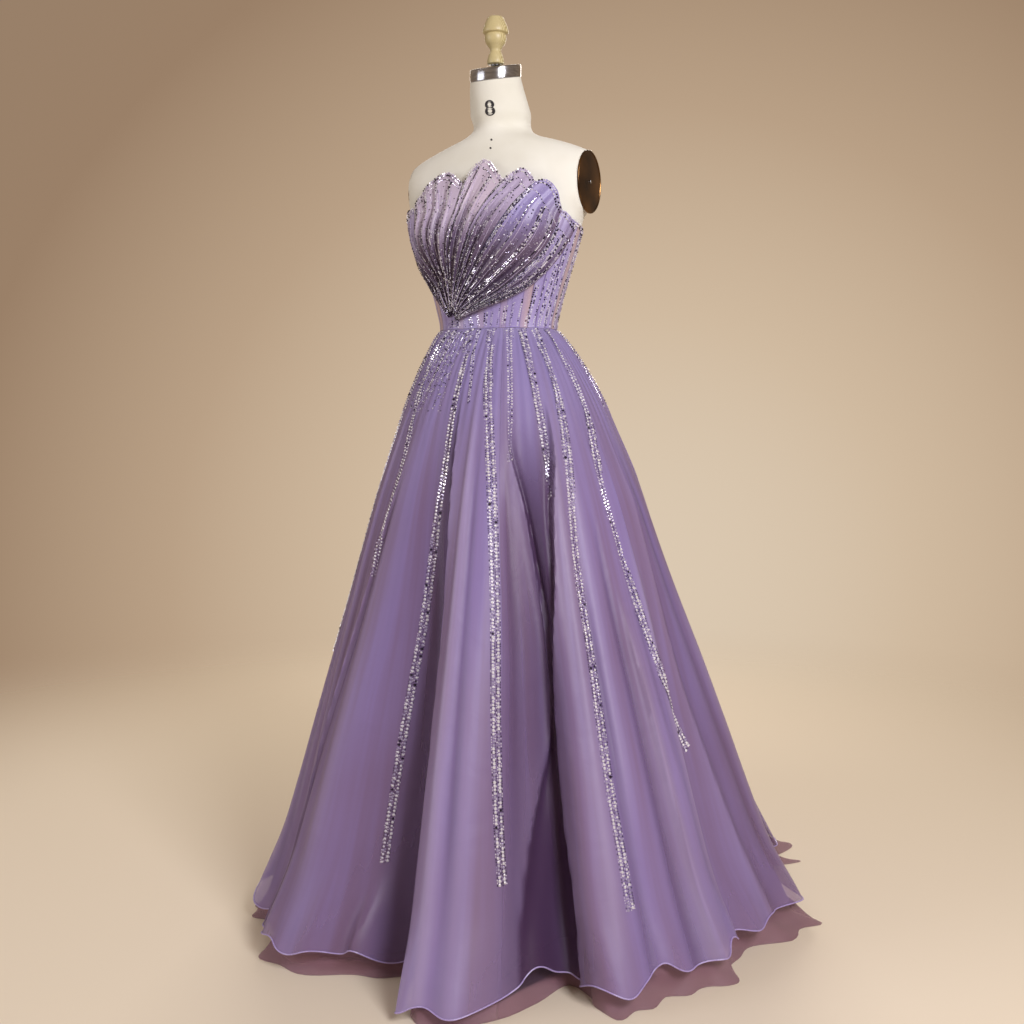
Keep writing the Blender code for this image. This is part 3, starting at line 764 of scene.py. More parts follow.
@dataclass
class FanShape:
    """The petals' surfaces; across runs over a petal's ridges and along from gather to edge."""

    torso: TorsoShape
    fan_turn: float = -30.0
    fan_rise: float = 0.011
    fan_start: float = 0.07
    sag: float = 0.55
    sag_from: float = 10.0
    sag_over: float = 65.0
    sag_curve: int = 6
    pleat_lift: float = 0.0075
    pleat_even: float = 0.25
    pleat_fullest: float = 0.8
    scallop_point: float = 1.3
    overlap: float = 0.0030
    clear: float = 0.0024
    gather_clear: float = 0.0004
    gather_length: float = 0.20
    wall: float = 0.0012
    tip_lean: float = 0.0040
    tip_lean_from: float = 0.70
    fine_pleats: int = 3
    fine_height: float = 0.0014
    fine_lean: float = 5.0
    fine_fade: tuple = (4.0, 5.0)
    unevenness: float = 0.10
    uneven_waves: float = 4.0

    def edge(self, petal: Petal, across: Grid) -> tuple[Grid, Grid]:
        """Turn and rise of a petal's scalloped edge.

        Args:
            petal: The petal.
            across: Place over the ridges.

        Returns:
            Turns and rises.
        """
        peak = (petal.peak_turn - petal.start_turn) / (petal.end_turn - petal.start_turn)
        turn = petal.start_turn + (petal.end_turn - petal.start_turn) * across
        chord = petal.start_rise + (petal.end_rise - petal.start_rise) * across
        crest = petal.peak_rise - petal.start_rise - (petal.end_rise - petal.start_rise) * peak
        bow = np.where(across < peak, across / peak, (1.0 - across) / (1.0 - peak))
        return turn, chord + crest * np.sin(np.clip(bow, 0.0, 1.0) * math.pi / 2) ** self.scallop_point

    def path(self, petal: Petal, across: Grid, along: Grid) -> tuple[Grid, Grid]:
        """Turn and rise of a petal's point.

        Args:
            petal: The petal.
            across: Place over the ridges.
            along: Place up the petal.

        Returns:
            Turns and rises.
        """
        edge_turn, edge_rise = self.edge(petal, across)
        sag = self.sag * ease((edge_turn - self.sag_from) / self.sag_over)
        climb = (1.0 - sag) * along + sag * along ** self.sag_curve
        turn = self.fan_turn + (edge_turn - self.fan_turn) * along
        return turn, self.fan_rise + (edge_rise - self.fan_rise) * climb

    def wave(self, petal: Petal, across: Grid) -> Grid:
        """Height of the pleats over a petal, 0 in its valleys and 1 on its ridges.

        Args:
            petal: The petal.
            across: Place over the ridges.

        Returns:
            Heights.
        """
        uneven = self.unevenness / petal.ridges
        uneven = uneven * np.sin(self.uneven_waves * math.pi * across + petal.start_turn)
        across = across + uneven * np.sin(math.pi * across)
        return 0.5 - 0.5 * np.cos(2.0 * math.pi * petal.ridges * across)

    def lift(self, petal: Petal, across: Grid, along: Grid) -> Grid:
        """How far a petal's outer face stands off the bodice.

        Args:
            petal: The petal.
            across: Place over the ridges.
            along: Place up the petal.

        Returns:
            Distances in metres.
        """
        wave = self.wave(petal, across)
        fullness = self.pleat_even + (1.0 - self.pleat_even) * np.sin(along ** self.pleat_fullest * math.pi)
        lift = self.pleat_lift * wave * fullness + self.overlap * across
        fine = np.sin(2.0 * math.pi * petal.ridges * self.fine_pleats * across + self.fine_lean * along)
        near_gather, near_tip = self.fine_fade
        fine = fine * fullness * ease(along * near_gather) * ease((1.0 - along) * near_tip)
        lift = lift + self.fine_height * fine
        seat = ease((along - self.fan_start) / self.gather_length)
        lift = lift + self.gather_clear + (self.clear - self.gather_clear) * seat + self.wall
        return lift + self.tip_lean * ease((along - self.tip_lean_from) / (1.0 - self.tip_lean_from))

    def surface(self, petal: Petal) -> Surface:
        """The outer face of one petal as a function of across and along."""

        def point(across: Grid, along: Grid) -> Grid:
            """A point of this petal's outer face.

            Args:
                across: Place over the ridges.
                along: Place up the petal.

            Returns:
                Points on the skin.
            """
            turn, rise = self.path(petal, across, along)
            out = LINING_CLEAR + BODICE_WALL + self.lift(petal, across, along)
            return moved_out(self.torso.point, turn, rise, out)

        return point


def linear(hex_colour: str) -> tuple[float, float, float, float]:
    """Turn an sRGB hex colour into Blender's linear one.

    Args:
        hex_colour: Six hex digits after a #.

    Returns:
        Linear red, green, blue and a full alpha.
    """
    parts = [int(hex_colour[index:index + 2], 16) / 255.0 for index in (1, 3, 5)]
    values = [part / 12.92 if part <= 0.04045 else ((part + 0.055) / 1.055) ** 2.4 for part in parts]
    return values[0], values[1], values[2], 1.0


def plain(value: Any) -> Any:
    """A value as a socket takes it: a hex colour is turned to linear."""
    return linear(value) if isinstance(value, str) else value


def add_node(tree: Any, kind: str, settings: Optional[dict] = None, links: Optional[dict] = None) -> Any:
    """Add a node with its settings and links.

    Args:
        tree: The node tree.
        kind: The node's type, without its first word.
        settings: Values for its inputs or properties; "stops" are a colour ramp's rows.
        links: Output sockets for its inputs.

    Returns:
        The node.
    """
    node = tree.nodes.new("ShaderNode" + kind)
    for key, value in (settings or {}).items():
        if key == "stops":
            ramp = node.color_ramp
            ramp.elements.remove(ramp.elements[-1])
            ramp.elements[0].position = value[0][0]
            ramp.elements[0].color = linear(value[0][1])
            for place, colour in value[1:]:
                ramp.elements.new(place).color = linear(colour)
        elif isinstance(key, int) or key in node.inputs:
            node.inputs[key].default_value = plain(value)
        else:
            setattr(node, key, value)
    for key, source in (links or {}).items():
        tree.links.new(source, node.inputs[key])
    return node


def set_shader(tree: Any, shader: Any, links: dict, settings: dict) -> None:
    """Link a shader's varying sockets and set its plain ones.

    Args:
        tree: The node tree.
        shader: The shader node.
        links: Output sockets for its inputs.
        settings: Values for its inputs.
    """
    for socket, source in links.items():
        tree.links.new(source, shader.inputs[socket])
    for socket, value in settings.items():
        shader.inputs[socket].default_value = plain(value)


@dataclass(frozen=True)
class Finish:
    """A named surface finish; each kind dresses its own node tree."""

    name: str

    def dress(self, tree: Any, shader: Any) -> None:
        """Set the shader and add the nodes that vary it."""

    def make(self) -> Material:
        """Make the material.

        Returns:
            The material.
        """
        material = bpy.data.materials.new(self.name)
        material.use_nodes = True
        tree = material.node_tree
        self.dress(tree, tree.nodes["Principled BSDF"])
        return material


@dataclass(frozen=True)
class CottonJersey(Finish):
    """Knitted cotton stretched over the form: an even matt ivory with a faint knit."""

    colour: str = "#EFEEE2"
    shade: str = "#E4E2D3"
    knit_per_metre: float = 420.0

    def dress(self, tree: Any, shader: Any) -> None:
        """Mottle the ivory faintly and raise a knit drawn twice its real size, to show.

        Args:
            tree: The node tree.
            shader: Its shader node.
        """
        place = add_node(tree, "TexCoord").outputs["Object"]
        mottle = add_node(tree, "TexNoise", {"Scale": 9.0, "Detail": 3.0}, {"Vector": place})
        colour = add_node(tree, "ValToRGB",
                          {"stops": ((0.30, self.shade), (0.62, self.colour))},
                          {"Fac": mottle.outputs["Fac"]})
        knit = add_node(tree, "TexVoronoi", {"Scale": self.knit_per_metre}, {"Vector": place})
        bump = add_node(tree, "Bump", {"Strength": 0.10, "Distance": 0.0006},
                        {"Height": knit.outputs["Distance"]})
        set_shader(tree, shader,
                   {"Base Color": colour.outputs["Color"], "Normal": bump.outputs["Normal"]},
                   {"Roughness": 0.82, "Sheen Weight": 0.15, "Specular IOR Level": 0.25})


@dataclass(frozen=True)
class Metal(Finish):
    """A plated or cast metal with faint polishing marks that break its reflections."""

    colour: str = "#C8C9CC"
    worn: str = "#A9AAAE"
    roughness: float = 0.16
    metallic: float = 1.0
    grain_per_metre: float = 60.0
    stretch: tuple = (1.0, 1.0, 6.0)

    def dress(self, tree: Any, shader: Any) -> None:
        """Vary colour and roughness along the polishing direction.

        Args:
            tree: The node tree.
            shader: Its shader node.
        """
        place = add_node(tree, "TexCoord").outputs["Object"]
        turned = add_node(tree, "Mapping", {"Scale": self.stretch}, {"Vector": place})
        marks = add_node(tree, "TexNoise", {"Scale": self.grain_per_metre, "Detail": 4.0},
                         {"Vector": turned.outputs["Vector"]})
        colour = add_node(tree, "ValToRGB",
                          {"stops": ((0.35, self.worn), (0.65, self.colour))},
                          {"Fac": marks.outputs["Fac"]})
        rough = add_node(tree, "MapRange", {3: self.roughness * 0.8, 4: self.roughness * 1.5},
                         {0: marks.outputs["Fac"]})
        set_shader(tree, shader,
                   {"Base Color": colour.outputs["Color"], "Roughness": rough.outputs[0]},
                   {"Metallic": self.metallic})


@dataclass(frozen=True)
class TurnedPine(Finish):
    """Waxed turned pine: pale straw wood with fine growth rings across the turning."""

    pale: str = "#D8CB99"
    dark: str = "#AE9C6A"
    rings_per_metre: float = 170.0

    def dress(self, tree: Any, shader: Any) -> None:
        """Draw the growth rings, bent by noise, and a soft waxed gloss.

        Args:
            tree: The node tree.
            shader: Its shader node.
        """
        place = add_node(tree, "TexCoord").outputs["Object"]
        grain = add_node(tree, "TexWave",
                         {"Scale": self.rings_per_metre, "Distortion": 3.0, "Detail": 2.0,
                          "bands_direction": "X"}, {"Vector": place})
        colour = add_node(tree, "ValToRGB",
                          {"stops": ((0.15, self.dark), (0.70, self.pale))},
                          {"Fac": grain.outputs["Fac"]})
        set_shader(tree, shader,
                   {"Base Color": colour.outputs["Color"]},
                   {"Roughness": 0.42, "Coat Weight": 0.15, "Coat Roughness": 0.25})


@dataclass(frozen=True)
class Organza(Finish):
    """Silk organza over tulle: sheer, soft gloss, with long faint streaks where layers overlap."""

    lit: str = "#A591CA"
    cool: str = "#9586BC"
    mauve: str = "#94789A"
    # Painted shade for folds and troughs, then painted highlight for ridges and fold edges
    painted_fold_shade: str = "#492C50"
    ridge: str = "#CDBEDE"
    waist: str = "#ABA1D6"
    alpha: float = 0.58
    hem_alpha: float = 0.46
    sheen: float = 0.30
    roughness: float = 0.44
    streak_scale: tuple = (16.0, 0.55, 1.0)
    slub_scale: tuple = (70.0, 300.0, 1.0)

    def dress(self, tree: Any, shader: Any) -> None:
        """Streak the violet lengthwise, darken the fold valleys with painted shade, lighten the ridges with
        painted highlight and raise faint slubs.

        Args:
            tree: The node tree.
            shader: Its shader node.
        """
        cut = add_node(tree, "UVMap", {"uv_map": "cut"}).outputs["UV"]
        long = add_node(tree, "Mapping", {"Scale": self.streak_scale}, {"Vector": cut})
        streak = add_node(tree, "TexNoise", {"Scale": 1.0, "Detail": 4.0, "Roughness": 0.55},
                          {"Vector": long.outputs["Vector"]})
        broad = add_node(tree, "TexNoise", {"Scale": 3.2, "Detail": 2.0}, {"Vector": cut})
        colour = add_node(tree, "ValToRGB",
                          {"stops": ((0.34, self.mauve), (0.56, self.lit),
                                     (0.76, self.cool))},
                          {"Fac": streak.outputs["Fac"]})
        warm = add_node(tree, "MapRange", {1: 0.45, 2: 0.75, 3: 0.0, 4: 0.40},
                        {0: broad.outputs["Fac"]})
        down = add_node(tree, "SeparateXYZ", {}, {"Vector": cut}).outputs["Y"]
        high = add_node(tree, "MapRange", {1: 0.02, 2: 0.40, 3: 0.60, 4: 0.0}, {0: down})
        # Painted highlight on ridges and painted shade in folds, read from the gores' stored attributes
        ridge = add_node(tree, "Attribute", {"attribute_name": "ridge"})
        valley = add_node(tree, "Attribute", {"attribute_name": "valley"})
        tone = colour.outputs["Color"]
        for tint, share in ((self.mauve, warm.outputs[0]), (self.waist, high.outputs[0]),
                            (self.ridge, ridge.outputs["Fac"]), (self.painted_fold_shade, valley.outputs["Fac"])):
            layer = add_node(tree, "Mix", {"data_type": "RGBA", 7: linear(tint)}, {0: share, 6: tone})
            tone = layer.outputs[2]
        thread = add_node(tree, "Mapping", {"Scale": self.slub_scale}, {"Vector": cut})
        slub = add_node(tree, "TexNoise", {"Scale": 1.0, "Detail": 1.0},
                        {"Vector": thread.outputs["Vector"]})
        crumple = add_node(tree, "TexNoise", {"Scale": 17.0, "Detail": 3.0, "Distortion": 0.6},
                           {"Vector": cut})
        soft = add_node(tree, "Bump", {"Strength": 0.45, "Distance": 0.006},
                        {"Height": crumple.outputs["Fac"]})
        bump = add_node(tree, "Bump", {"Strength": 0.04, "Distance": 0.0006},
                        {"Height": slub.outputs["Fac"], "Normal": soft.outputs["Normal"]})
        thin = add_node(tree, "MapRange", {1: 0.95, 2: 1.24, 3: self.alpha, 4: self.hem_alpha},
                        {0: down})
        set_shader(tree, shader,
                   {"Base Color": tone, "Normal": bump.outputs["Normal"], "Alpha": thin.outputs[0]},
                   {"Roughness": self.roughness, "Specular IOR Level": 0.35, "Sheen Weight": self.sheen,
                    "Sheen Roughness": 0.40, "Sheen Tint": "#DCD0F0"})


@dataclass(frozen=True)
class SequinnedMesh(Finish):
    """Pleated mesh set with tiny sequins: taupe violet where gathered, pale and sheer at the tips."""

    gather: str = "#3E2C46"
    middle: str = "#6C5A76"
    blue: str = "#958ABE"
    tip_cool: str = "#B0A4D2"
    tip_warm: str = "#D0C0D2"
    sequins_per_metre: float = 330.0

    def dress(self, tree: Any, shader: Any) -> None:
        """Colour each petal from gather to tip, darken its pleat valleys with painted shade and scatter
        bright sequins over it.

        Args:
            tree: The node tree.
            shader: Its shader node.
        """
        reach = add_node(tree, "Attribute", {"attribute_name": "reach"})
        warmth = add_node(tree, "Attribute", {"attribute_name": "warmth"})
        valley = add_node(tree, "Attribute", {"attribute_name": "valley"})
        cut = add_node(tree, "UVMap", {"uv_map": "cut"}).outputs["UV"]
        stops = ((0.20, self.gather), (0.52, self.middle), (0.76, self.blue))
        cool = add_node(tree, "ValToRGB", {"stops": (*stops, (1.0, self.tip_cool))},
                        {"Fac": reach.outputs["Fac"]})
        warm = add_node(tree, "ValToRGB",
                        {"stops": ((0.20, self.gather), (0.52, self.middle),
                                   (0.76, self.tip_warm), (1.0, self.tip_warm))},
                        {"Fac": reach.outputs["Fac"]})
        base = add_node(tree, "Mix", {"data_type": "RGBA"},
                        {0: warmth.outputs["Fac"], 6: cool.outputs["Color"], 7: warm.outputs["Color"]})
        # Painted shade in the pleat valleys, in the gather's colour
        dark = add_node(tree, "Mix", {"data_type": "RGBA", 7: self.gather},
                        {0: valley.outputs["Fac"], 6: base.outputs[2]})
        cells = add_node(tree, "TexVoronoi", {"Scale": self.sequins_per_metre}, {"Vector": cut})
        spark = add_node(tree, "MapRange", {1: 0.22, 2: 0.12, 3: 0.0, 4: 0.55},
                         {0: cells.outputs["Distance"]})
        lit = add_node(tree, "Mix", {"data_type": "RGBA", 7: "#E8E2F2"},
                       {0: spark.outputs[0], 6: dark.outputs[2]})
        bump = add_node(tree, "Bump", {"Strength": 0.35, "Distance": 0.0006},
                        {"Height": spark.outputs[0]})
        sheer = add_node(tree, "MapRange", {1: 0.70, 2: 1.0, 3: 1.0, 4: 0.80},
                         {0: reach.outputs["Fac"]})
        set_shader(tree, shader,
                   {"Base Color": lit.outputs[2], "Normal": bump.outputs["Normal"],
                    "Alpha": sheer.outputs[0]},
                   {"Roughness": 0.40, "Sheen Weight": 0.25, "Sheen Tint": "#E0D8F4"})


@dataclass(frozen=True)
class StripedSatin(Finish):
    """Boned satin: lavender with nude and pale stripes between the bones, sprinkled with sequins."""

    lavender: str = "#9A8CC2"
    pale: str = "#B0A4D0"
    nude: str = "#BDA4AC"
    shade: str = "#665480"
    stripe_width: float = 0.060
    sequins_per_metre: float = 300.0

    def dress(self, tree: Any, shader: Any) -> None:
        """Stripe the satin by its cut, and sprinkle sequins.

        Args:
            tree: The node tree.
            shader: Its shader node.
        """
        cut = add_node(tree, "UVMap", {"uv_map": "cut"}).outputs["UV"]
        across = add_node(tree, "SeparateXYZ", {}, {"Vector": cut}).outputs["X"]
        count = add_node(tree, "Math", {"operation": "DIVIDE", 1: self.stripe_width}, {0: across})
        part = add_node(tree, "Math", {"operation": "FRACT"}, {0: count.outputs[0]})
        colour = add_node(tree, "ValToRGB",
                          {"stops": ((0.0, self.shade), (0.03, self.lavender),
                                     (0.36, self.pale), (0.40, self.shade),
                                     (0.43, self.nude), (0.66, self.nude),
                                     (0.70, self.shade), (0.73, self.pale),
                                     (0.97, self.lavender), (1.0, self.shade))},
                          {"Fac": part.outputs[0]})
        cells = add_node(tree, "TexVoronoi", {"Scale": self.sequins_per_metre}, {"Vector": cut})
        spark = add_node(tree, "MapRange", {1: 0.20, 2: 0.12, 3: 0.0, 4: 0.5},
                         {0: cells.outputs["Distance"]})
        sheer = add_node(tree, "Attribute", {"attribute_name": "nude"})
        panel = add_node(tree, "Mix", {"data_type": "RGBA", 6: self.lavender},
                         {0: sheer.outputs["Fac"], 7: colour.outputs["Color"]})
        lit = add_node(tree, "Mix", {"data_type": "RGBA", 7: "#EAE6F4"},
                       {0: spark.outputs[0], 6: panel.outputs[2]})
        bump = add_node(tree, "Bump", {"Strength": 0.3, "Distance": 0.0006},
                        {"Height": spark.outputs[0]})
        set_shader(tree, shader,
                   {"Base Color": lit.outputs[2], "Normal": bump.outputs["Normal"]},
                   {"Roughness": 0.38, "Sheen Weight": 0.2})


@dataclass(frozen=True)
class Tulle(Finish):
    """Soft mauve tulle: dull, sheer where single, with a faint crinkle."""

    upper: str = "#6C547E"
    lower: str = "#A67C8A"
    # Painted shade for the folds
    painted_fold_shade: str = "#35203C"
    length: float = 1.18

    def dress(self, tree: Any, shader: Any) -> None:
        """Turn the tulle from violet to mauve down its length, darken its folds with painted shade and thin
        it past the hem.

        Args:
            tree: The node tree.
            shader: Its shader node.
        """
        cut = add_node(tree, "UVMap", {"uv_map": "cut"}).outputs["UV"]
        down = add_node(tree, "SeparateXYZ", {}, {"Vector": cut}).outputs["Y"]
        tone = add_node(tree, "MapRange", {1: 0.25 * self.length, 2: 0.9 * self.length},
                        {0: down})
        colour = add_node(tree, "Mix",
                          {"data_type": "RGBA", 6: self.upper, 7: self.lower},
                          {0: tone.outputs[0]})
        long = add_node(tree, "Mapping", {"Scale": (24.0, 2.0, 1.0)}, {"Vector": cut})
        streak = add_node(tree, "TexNoise", {"Scale": 1.0, "Detail": 3.0},
                          {"Vector": long.outputs["Vector"]})
        streaked = add_node(tree, "Mix",
                            {"data_type": "RGBA", "blend_type": "MULTIPLY", 7: "#D6C6D0"},
                            {0: streak.outputs["Fac"], 6: colour.outputs[2]})
        sheer = add_node(tree, "MapRange",
                         {1: 0.95 * self.length, 2: 1.0 * self.length, 3: 0.80, 4: 0.46}, {0: down})
        # Painted shade in the folds, stored on the underskirt gores
        valley = add_node(tree, "Attribute", {"attribute_name": "valley"})
        dark = add_node(tree, "Mix", {"data_type": "RGBA", 7: self.painted_fold_shade},
                        {0: valley.outputs["Fac"], 6: streaked.outputs[2]})
        set_shader(tree, shader,
                   {"Base Color": dark.outputs[2], "Alpha": sheer.outputs[0]},
                   {"Roughness": 0.62, "Sheen Weight": 0.3, "Sheen Tint": "#E6D6E4"})


@dataclass(frozen=True)
class SilverLinedGlass(Finish):
    """Silver-lined glass beads: most flash silver white, some lilac, the rest gunmetal."""

    bright: str = "#F4F2F8"
    lilac: str = "#B9B0CC"
    gunmetal: str = "#2C2434"

    def dress(self, tree: Any, shader: Any) -> None:
        """Colour each bead by its own tone.

        Args:
            tree: The node tree.
            shader: Its shader node.
        """
        tone = add_node(tree, "Attribute", {"attribute_name": "tone"})
        colour = add_node(tree, "ValToRGB",
                          {"stops": ((0.0, self.gunmetal), (0.34, self.gunmetal),
                                     (0.36, self.lilac), (0.55, self.lilac),
                                     (0.57, self.bright), (1.0, self.bright))},
                          {"Fac": tone.outputs["Fac"]})
        set_shader(tree, shader,
                   {"Base Color": colour.outputs["Color"]},
                   {"Metallic": 0.35, "Roughness": 0.24, "Coat Weight": 0.25, "Coat Roughness": 0.12})


@dataclass(frozen=True)
class SatinCord(Finish):
    """Silver lilac satin cord: bright, softly glossy, with its twist showing as fine bands."""

    pale: str = "#E9E2F0"
    shade: str = "#A89AB8"
    twists_per_metre: float = 700.0

    def dress(self, tree: Any, shader: Any) -> None:
        """Band the cord by its twist.

        Args:
            tree: The node tree.
            shader: Its shader node.
        """
        place = add_node(tree, "TexCoord").outputs["Object"]
        twist = add_node(tree, "TexNoise", {"Scale": self.twists_per_metre}, {"Vector": place})
        colour = add_node(tree, "ValToRGB",
                          {"stops": ((0.35, self.shade), (0.60, self.pale))},
                          {"Fac": twist.outputs["Fac"]})
        set_shader(tree, shader,
                   {"Base Color": colour.outputs["Color"]},
                   {"Roughness": 0.35})


@dataclass(frozen=True)
class PlainPaint(Finish):
    """Matt paint or ink with a barely uneven coat."""

    colour: str = "#262326"
    uneven: str = "#302C30"
    roughness: float = 0.6
    mottle_per_metre: float = 40.0

    def dress(self, tree: Any, shader: Any) -> None:
        """Mottle the coat a little.

        Args:
            tree: The node tree.
            shader: Its shader node.
        """
        place = add_node(tree, "TexCoord").outputs["Object"]
        mottle = add_node(tree, "TexNoise", {"Scale": self.mottle_per_metre}, {"Vector": place})
        colour = add_node(tree, "ValToRGB",
                          {"stops": ((0.3, self.colour), (0.7, self.uneven))},
                          {"Fac": mottle.outputs["Fac"]})
        set_shader(tree, shader,
                   {"Base Color": colour.outputs["Color"]},
                   {"Roughness": self.roughness})


@dataclass(frozen=True)
class StudioPaper(Finish):
    """Warm pale studio paper that fades out well away from the gown."""

    colour: str = "#E6DAC4"
    fade_from: float = 1.2
    fade_to: float = 3.2

    def dress(self, tree: Any, shader: Any) -> None:
        """Fade the paper out with its distance from the pole.

        Args:
            tree: The node tree.
            shader: Its shader node.
        """
        place = add_node(tree, "TexCoord").outputs["Object"]
        away = add_node(tree, "VectorMath", {"operation": "LENGTH"}, {0: place})
        fade = add_node(tree, "MapRange",
                        {"interpolation_type": "SMOOTHSTEP", 1: self.fade_from, 2: self.fade_to,
                         3: 1.0, 4: 0.0}, {0: away.outputs["Value"]})
        set_shader(tree, shader,
                   {"Alpha": fade.outputs[0]},
                   {"Base Color": self.colour, "Roughness": 0.75, "Specular IOR Level": 0.2})


def mesh_object(name: str, vertices: Grid, faces: Any, finish: Material) -> Piece:
    """Link a mesh object made from points and faces.

    Args:
        name: The object's name.
        vertices: Points, one row each.
        faces: Corner indices of each face.
        finish: Its material.

    Returns:
        The object.
    """
    mesh = bpy.data.meshes.new(name)
    mesh.from_pydata(np.asarray(vertices).tolist(), [], [tuple(face) for face in faces])
    mesh.materials.append(finish)
    piece = bpy.data.objects.new(name, mesh)
    bpy.context.scene.collection.objects.link(piece)
    return piece


def set_attribute(piece: Piece, name: str, values: Grid) -> None:
    """Store a number for each point of a piece."""
    layer = piece.data.attributes.new(name, "FLOAT", "POINT")
    layer.data.foreach_set("value", np.asarray(values, dtype=np.float32).ravel())


def set_both(piece: Piece, name: str, values: Grid) -> None:
    """Store a number for each point of a sheet, the same on its outer and inner face."""
    set_attribute(piece, name, np.concatenate((values, values)))


def set_cut_map(piece: Piece, across: Grid, down: Grid) -> None:
    """Lay a piece's cut out flat, in metres, as its UV map "cut".

    Args:
        piece: The piece.
        across: Widths over the cut.
        down: Lengths down the cut.
    """
    layer = piece.data.uv_layers.new(name="cut")
    corners = np.empty(len(piece.data.loops), dtype=np.int32)
    piece.data.loops.foreach_get("vertex_index", corners)
    flat = np.stack((across.ravel()[corners], down.ravel()[corners]), axis=-1)
    layer.data.foreach_set("uv", flat.astype(np.float32).ravel())


def smooth(piece: Piece, sharp_degrees: float = 50.0) -> None:
    """Shade a piece smooth, with its sharper edges kept."""
    piece.data.shade_smooth()
    piece.data.set_sharp_from_angle(angle=math.radians(sharp_degrees))


def own(piece: Piece, slot: Slot, *nodes: str) -> Piece:
    """Ride a piece on the part's one body and hide the solids it stands for.

    Args:
        piece: The piece.
        slot: Not used.
        nodes: The solids it stands for.

    Returns:
        The piece.
    """
    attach(piece, "root")
    if nodes:
        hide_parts(*nodes)
    return piece


@dataclass
class ClothSheet:
    """A thin wall of cloth between two grids of points, and its flat cut."""

    name: str
    outer: Grid
    inner: Grid

    def faces(self) -> list:
        """Corner indices of both sides and the rim.

        Returns:
            One list for each face.
        """
        rows, columns = self.outer.shape[:2]
        count = rows * columns
        index = np.arange(count).reshape(rows, columns)
        quads = np.stack((index[:-1, :-1], index[:-1, 1:], index[1:, 1:], index[1:, :-1]), axis=-1)
        quads = quads.reshape(-1, 4)
        back = quads[:, ::-1] + count
        rim = np.concatenate((index[0, :], index[1:, -1], index[-1, -2::-1], index[-2:0:-1, 0]))
        after = np.roll(rim, -1)
        edge = np.stack((rim, rim + count, after + count, after), axis=-1)
        return np.vstack((quads, back, edge)).tolist()

    def build(self, finish: Material, down_row: bool) -> Piece:
        """Make the sheet's mesh and its cut map.

        Args:
            finish: Its material.
            down_row: Whether its rows run downwards, which turns its faces round.

        Returns:
            The object.
        """
        faces = self.faces()
        if down_row:
            faces = [face[::-1] for face in faces]
        vertices = np.vstack((self.outer.reshape(-1, 3), self.inner.reshape(-1, 3)))
        piece = mesh_object(self.name, vertices, faces, finish)
        middle = self.outer[len(self.outer) // 2]
        width = lengths_along(middle)
        column = self.outer[:, self.outer.shape[1] // 2]
        length = lengths_along(column)
        across = np.broadcast_to(width[None, :], self.outer.shape[:2])
        down = np.broadcast_to(length[:, None], self.outer.shape[:2])
        set_cut_map(piece, np.concatenate((across, across)), np.concatenate((down, down)))
        smooth(piece)
        return piece


class BeadSpec(NamedTuple):
    """How one kind of bead line is sewn: radius, spacing, columns and share of dark beads."""

    radius: float
    spacing: float
    columns: tuple
    dark: float


class BeadLook(Enum):
    """The kinds of bead line on the gown."""

    FINE = BeadSpec(0.0014, 0.0034, (0.0,), 0.35)
    SINGLE = BeadSpec(0.0019, 0.0042, (0.0,), 0.25)
    DOUBLE = BeadSpec(0.0018, 0.0042, (-0.0024, 0.0024), 0.30)
    EDGE = BeadSpec(0.0021, 0.0048, (-0.0026, 0.0028), 0.30)
    BAND = BeadSpec(0.0025, 0.0062, (-0.0044, 0.0044), 0.03)
    STRONG = BeadSpec(0.0028, 0.0066, (-0.0052, 0.0050), 0.05)
    DUST = BeadSpec(0.0011, 0.0042, (-0.0080, -0.0014, 0.0016, 0.0082), 0.50)
    VEIN = BeadSpec(0.0011, 0.0034, (-0.0013, 0.0013), 0.34)
    THREAD = BeadSpec(0.0010, 0.0030, (0.0,), 0.45)
    STAR = BeadSpec(0.0040, 0.0060, (0.0,), 0.0)


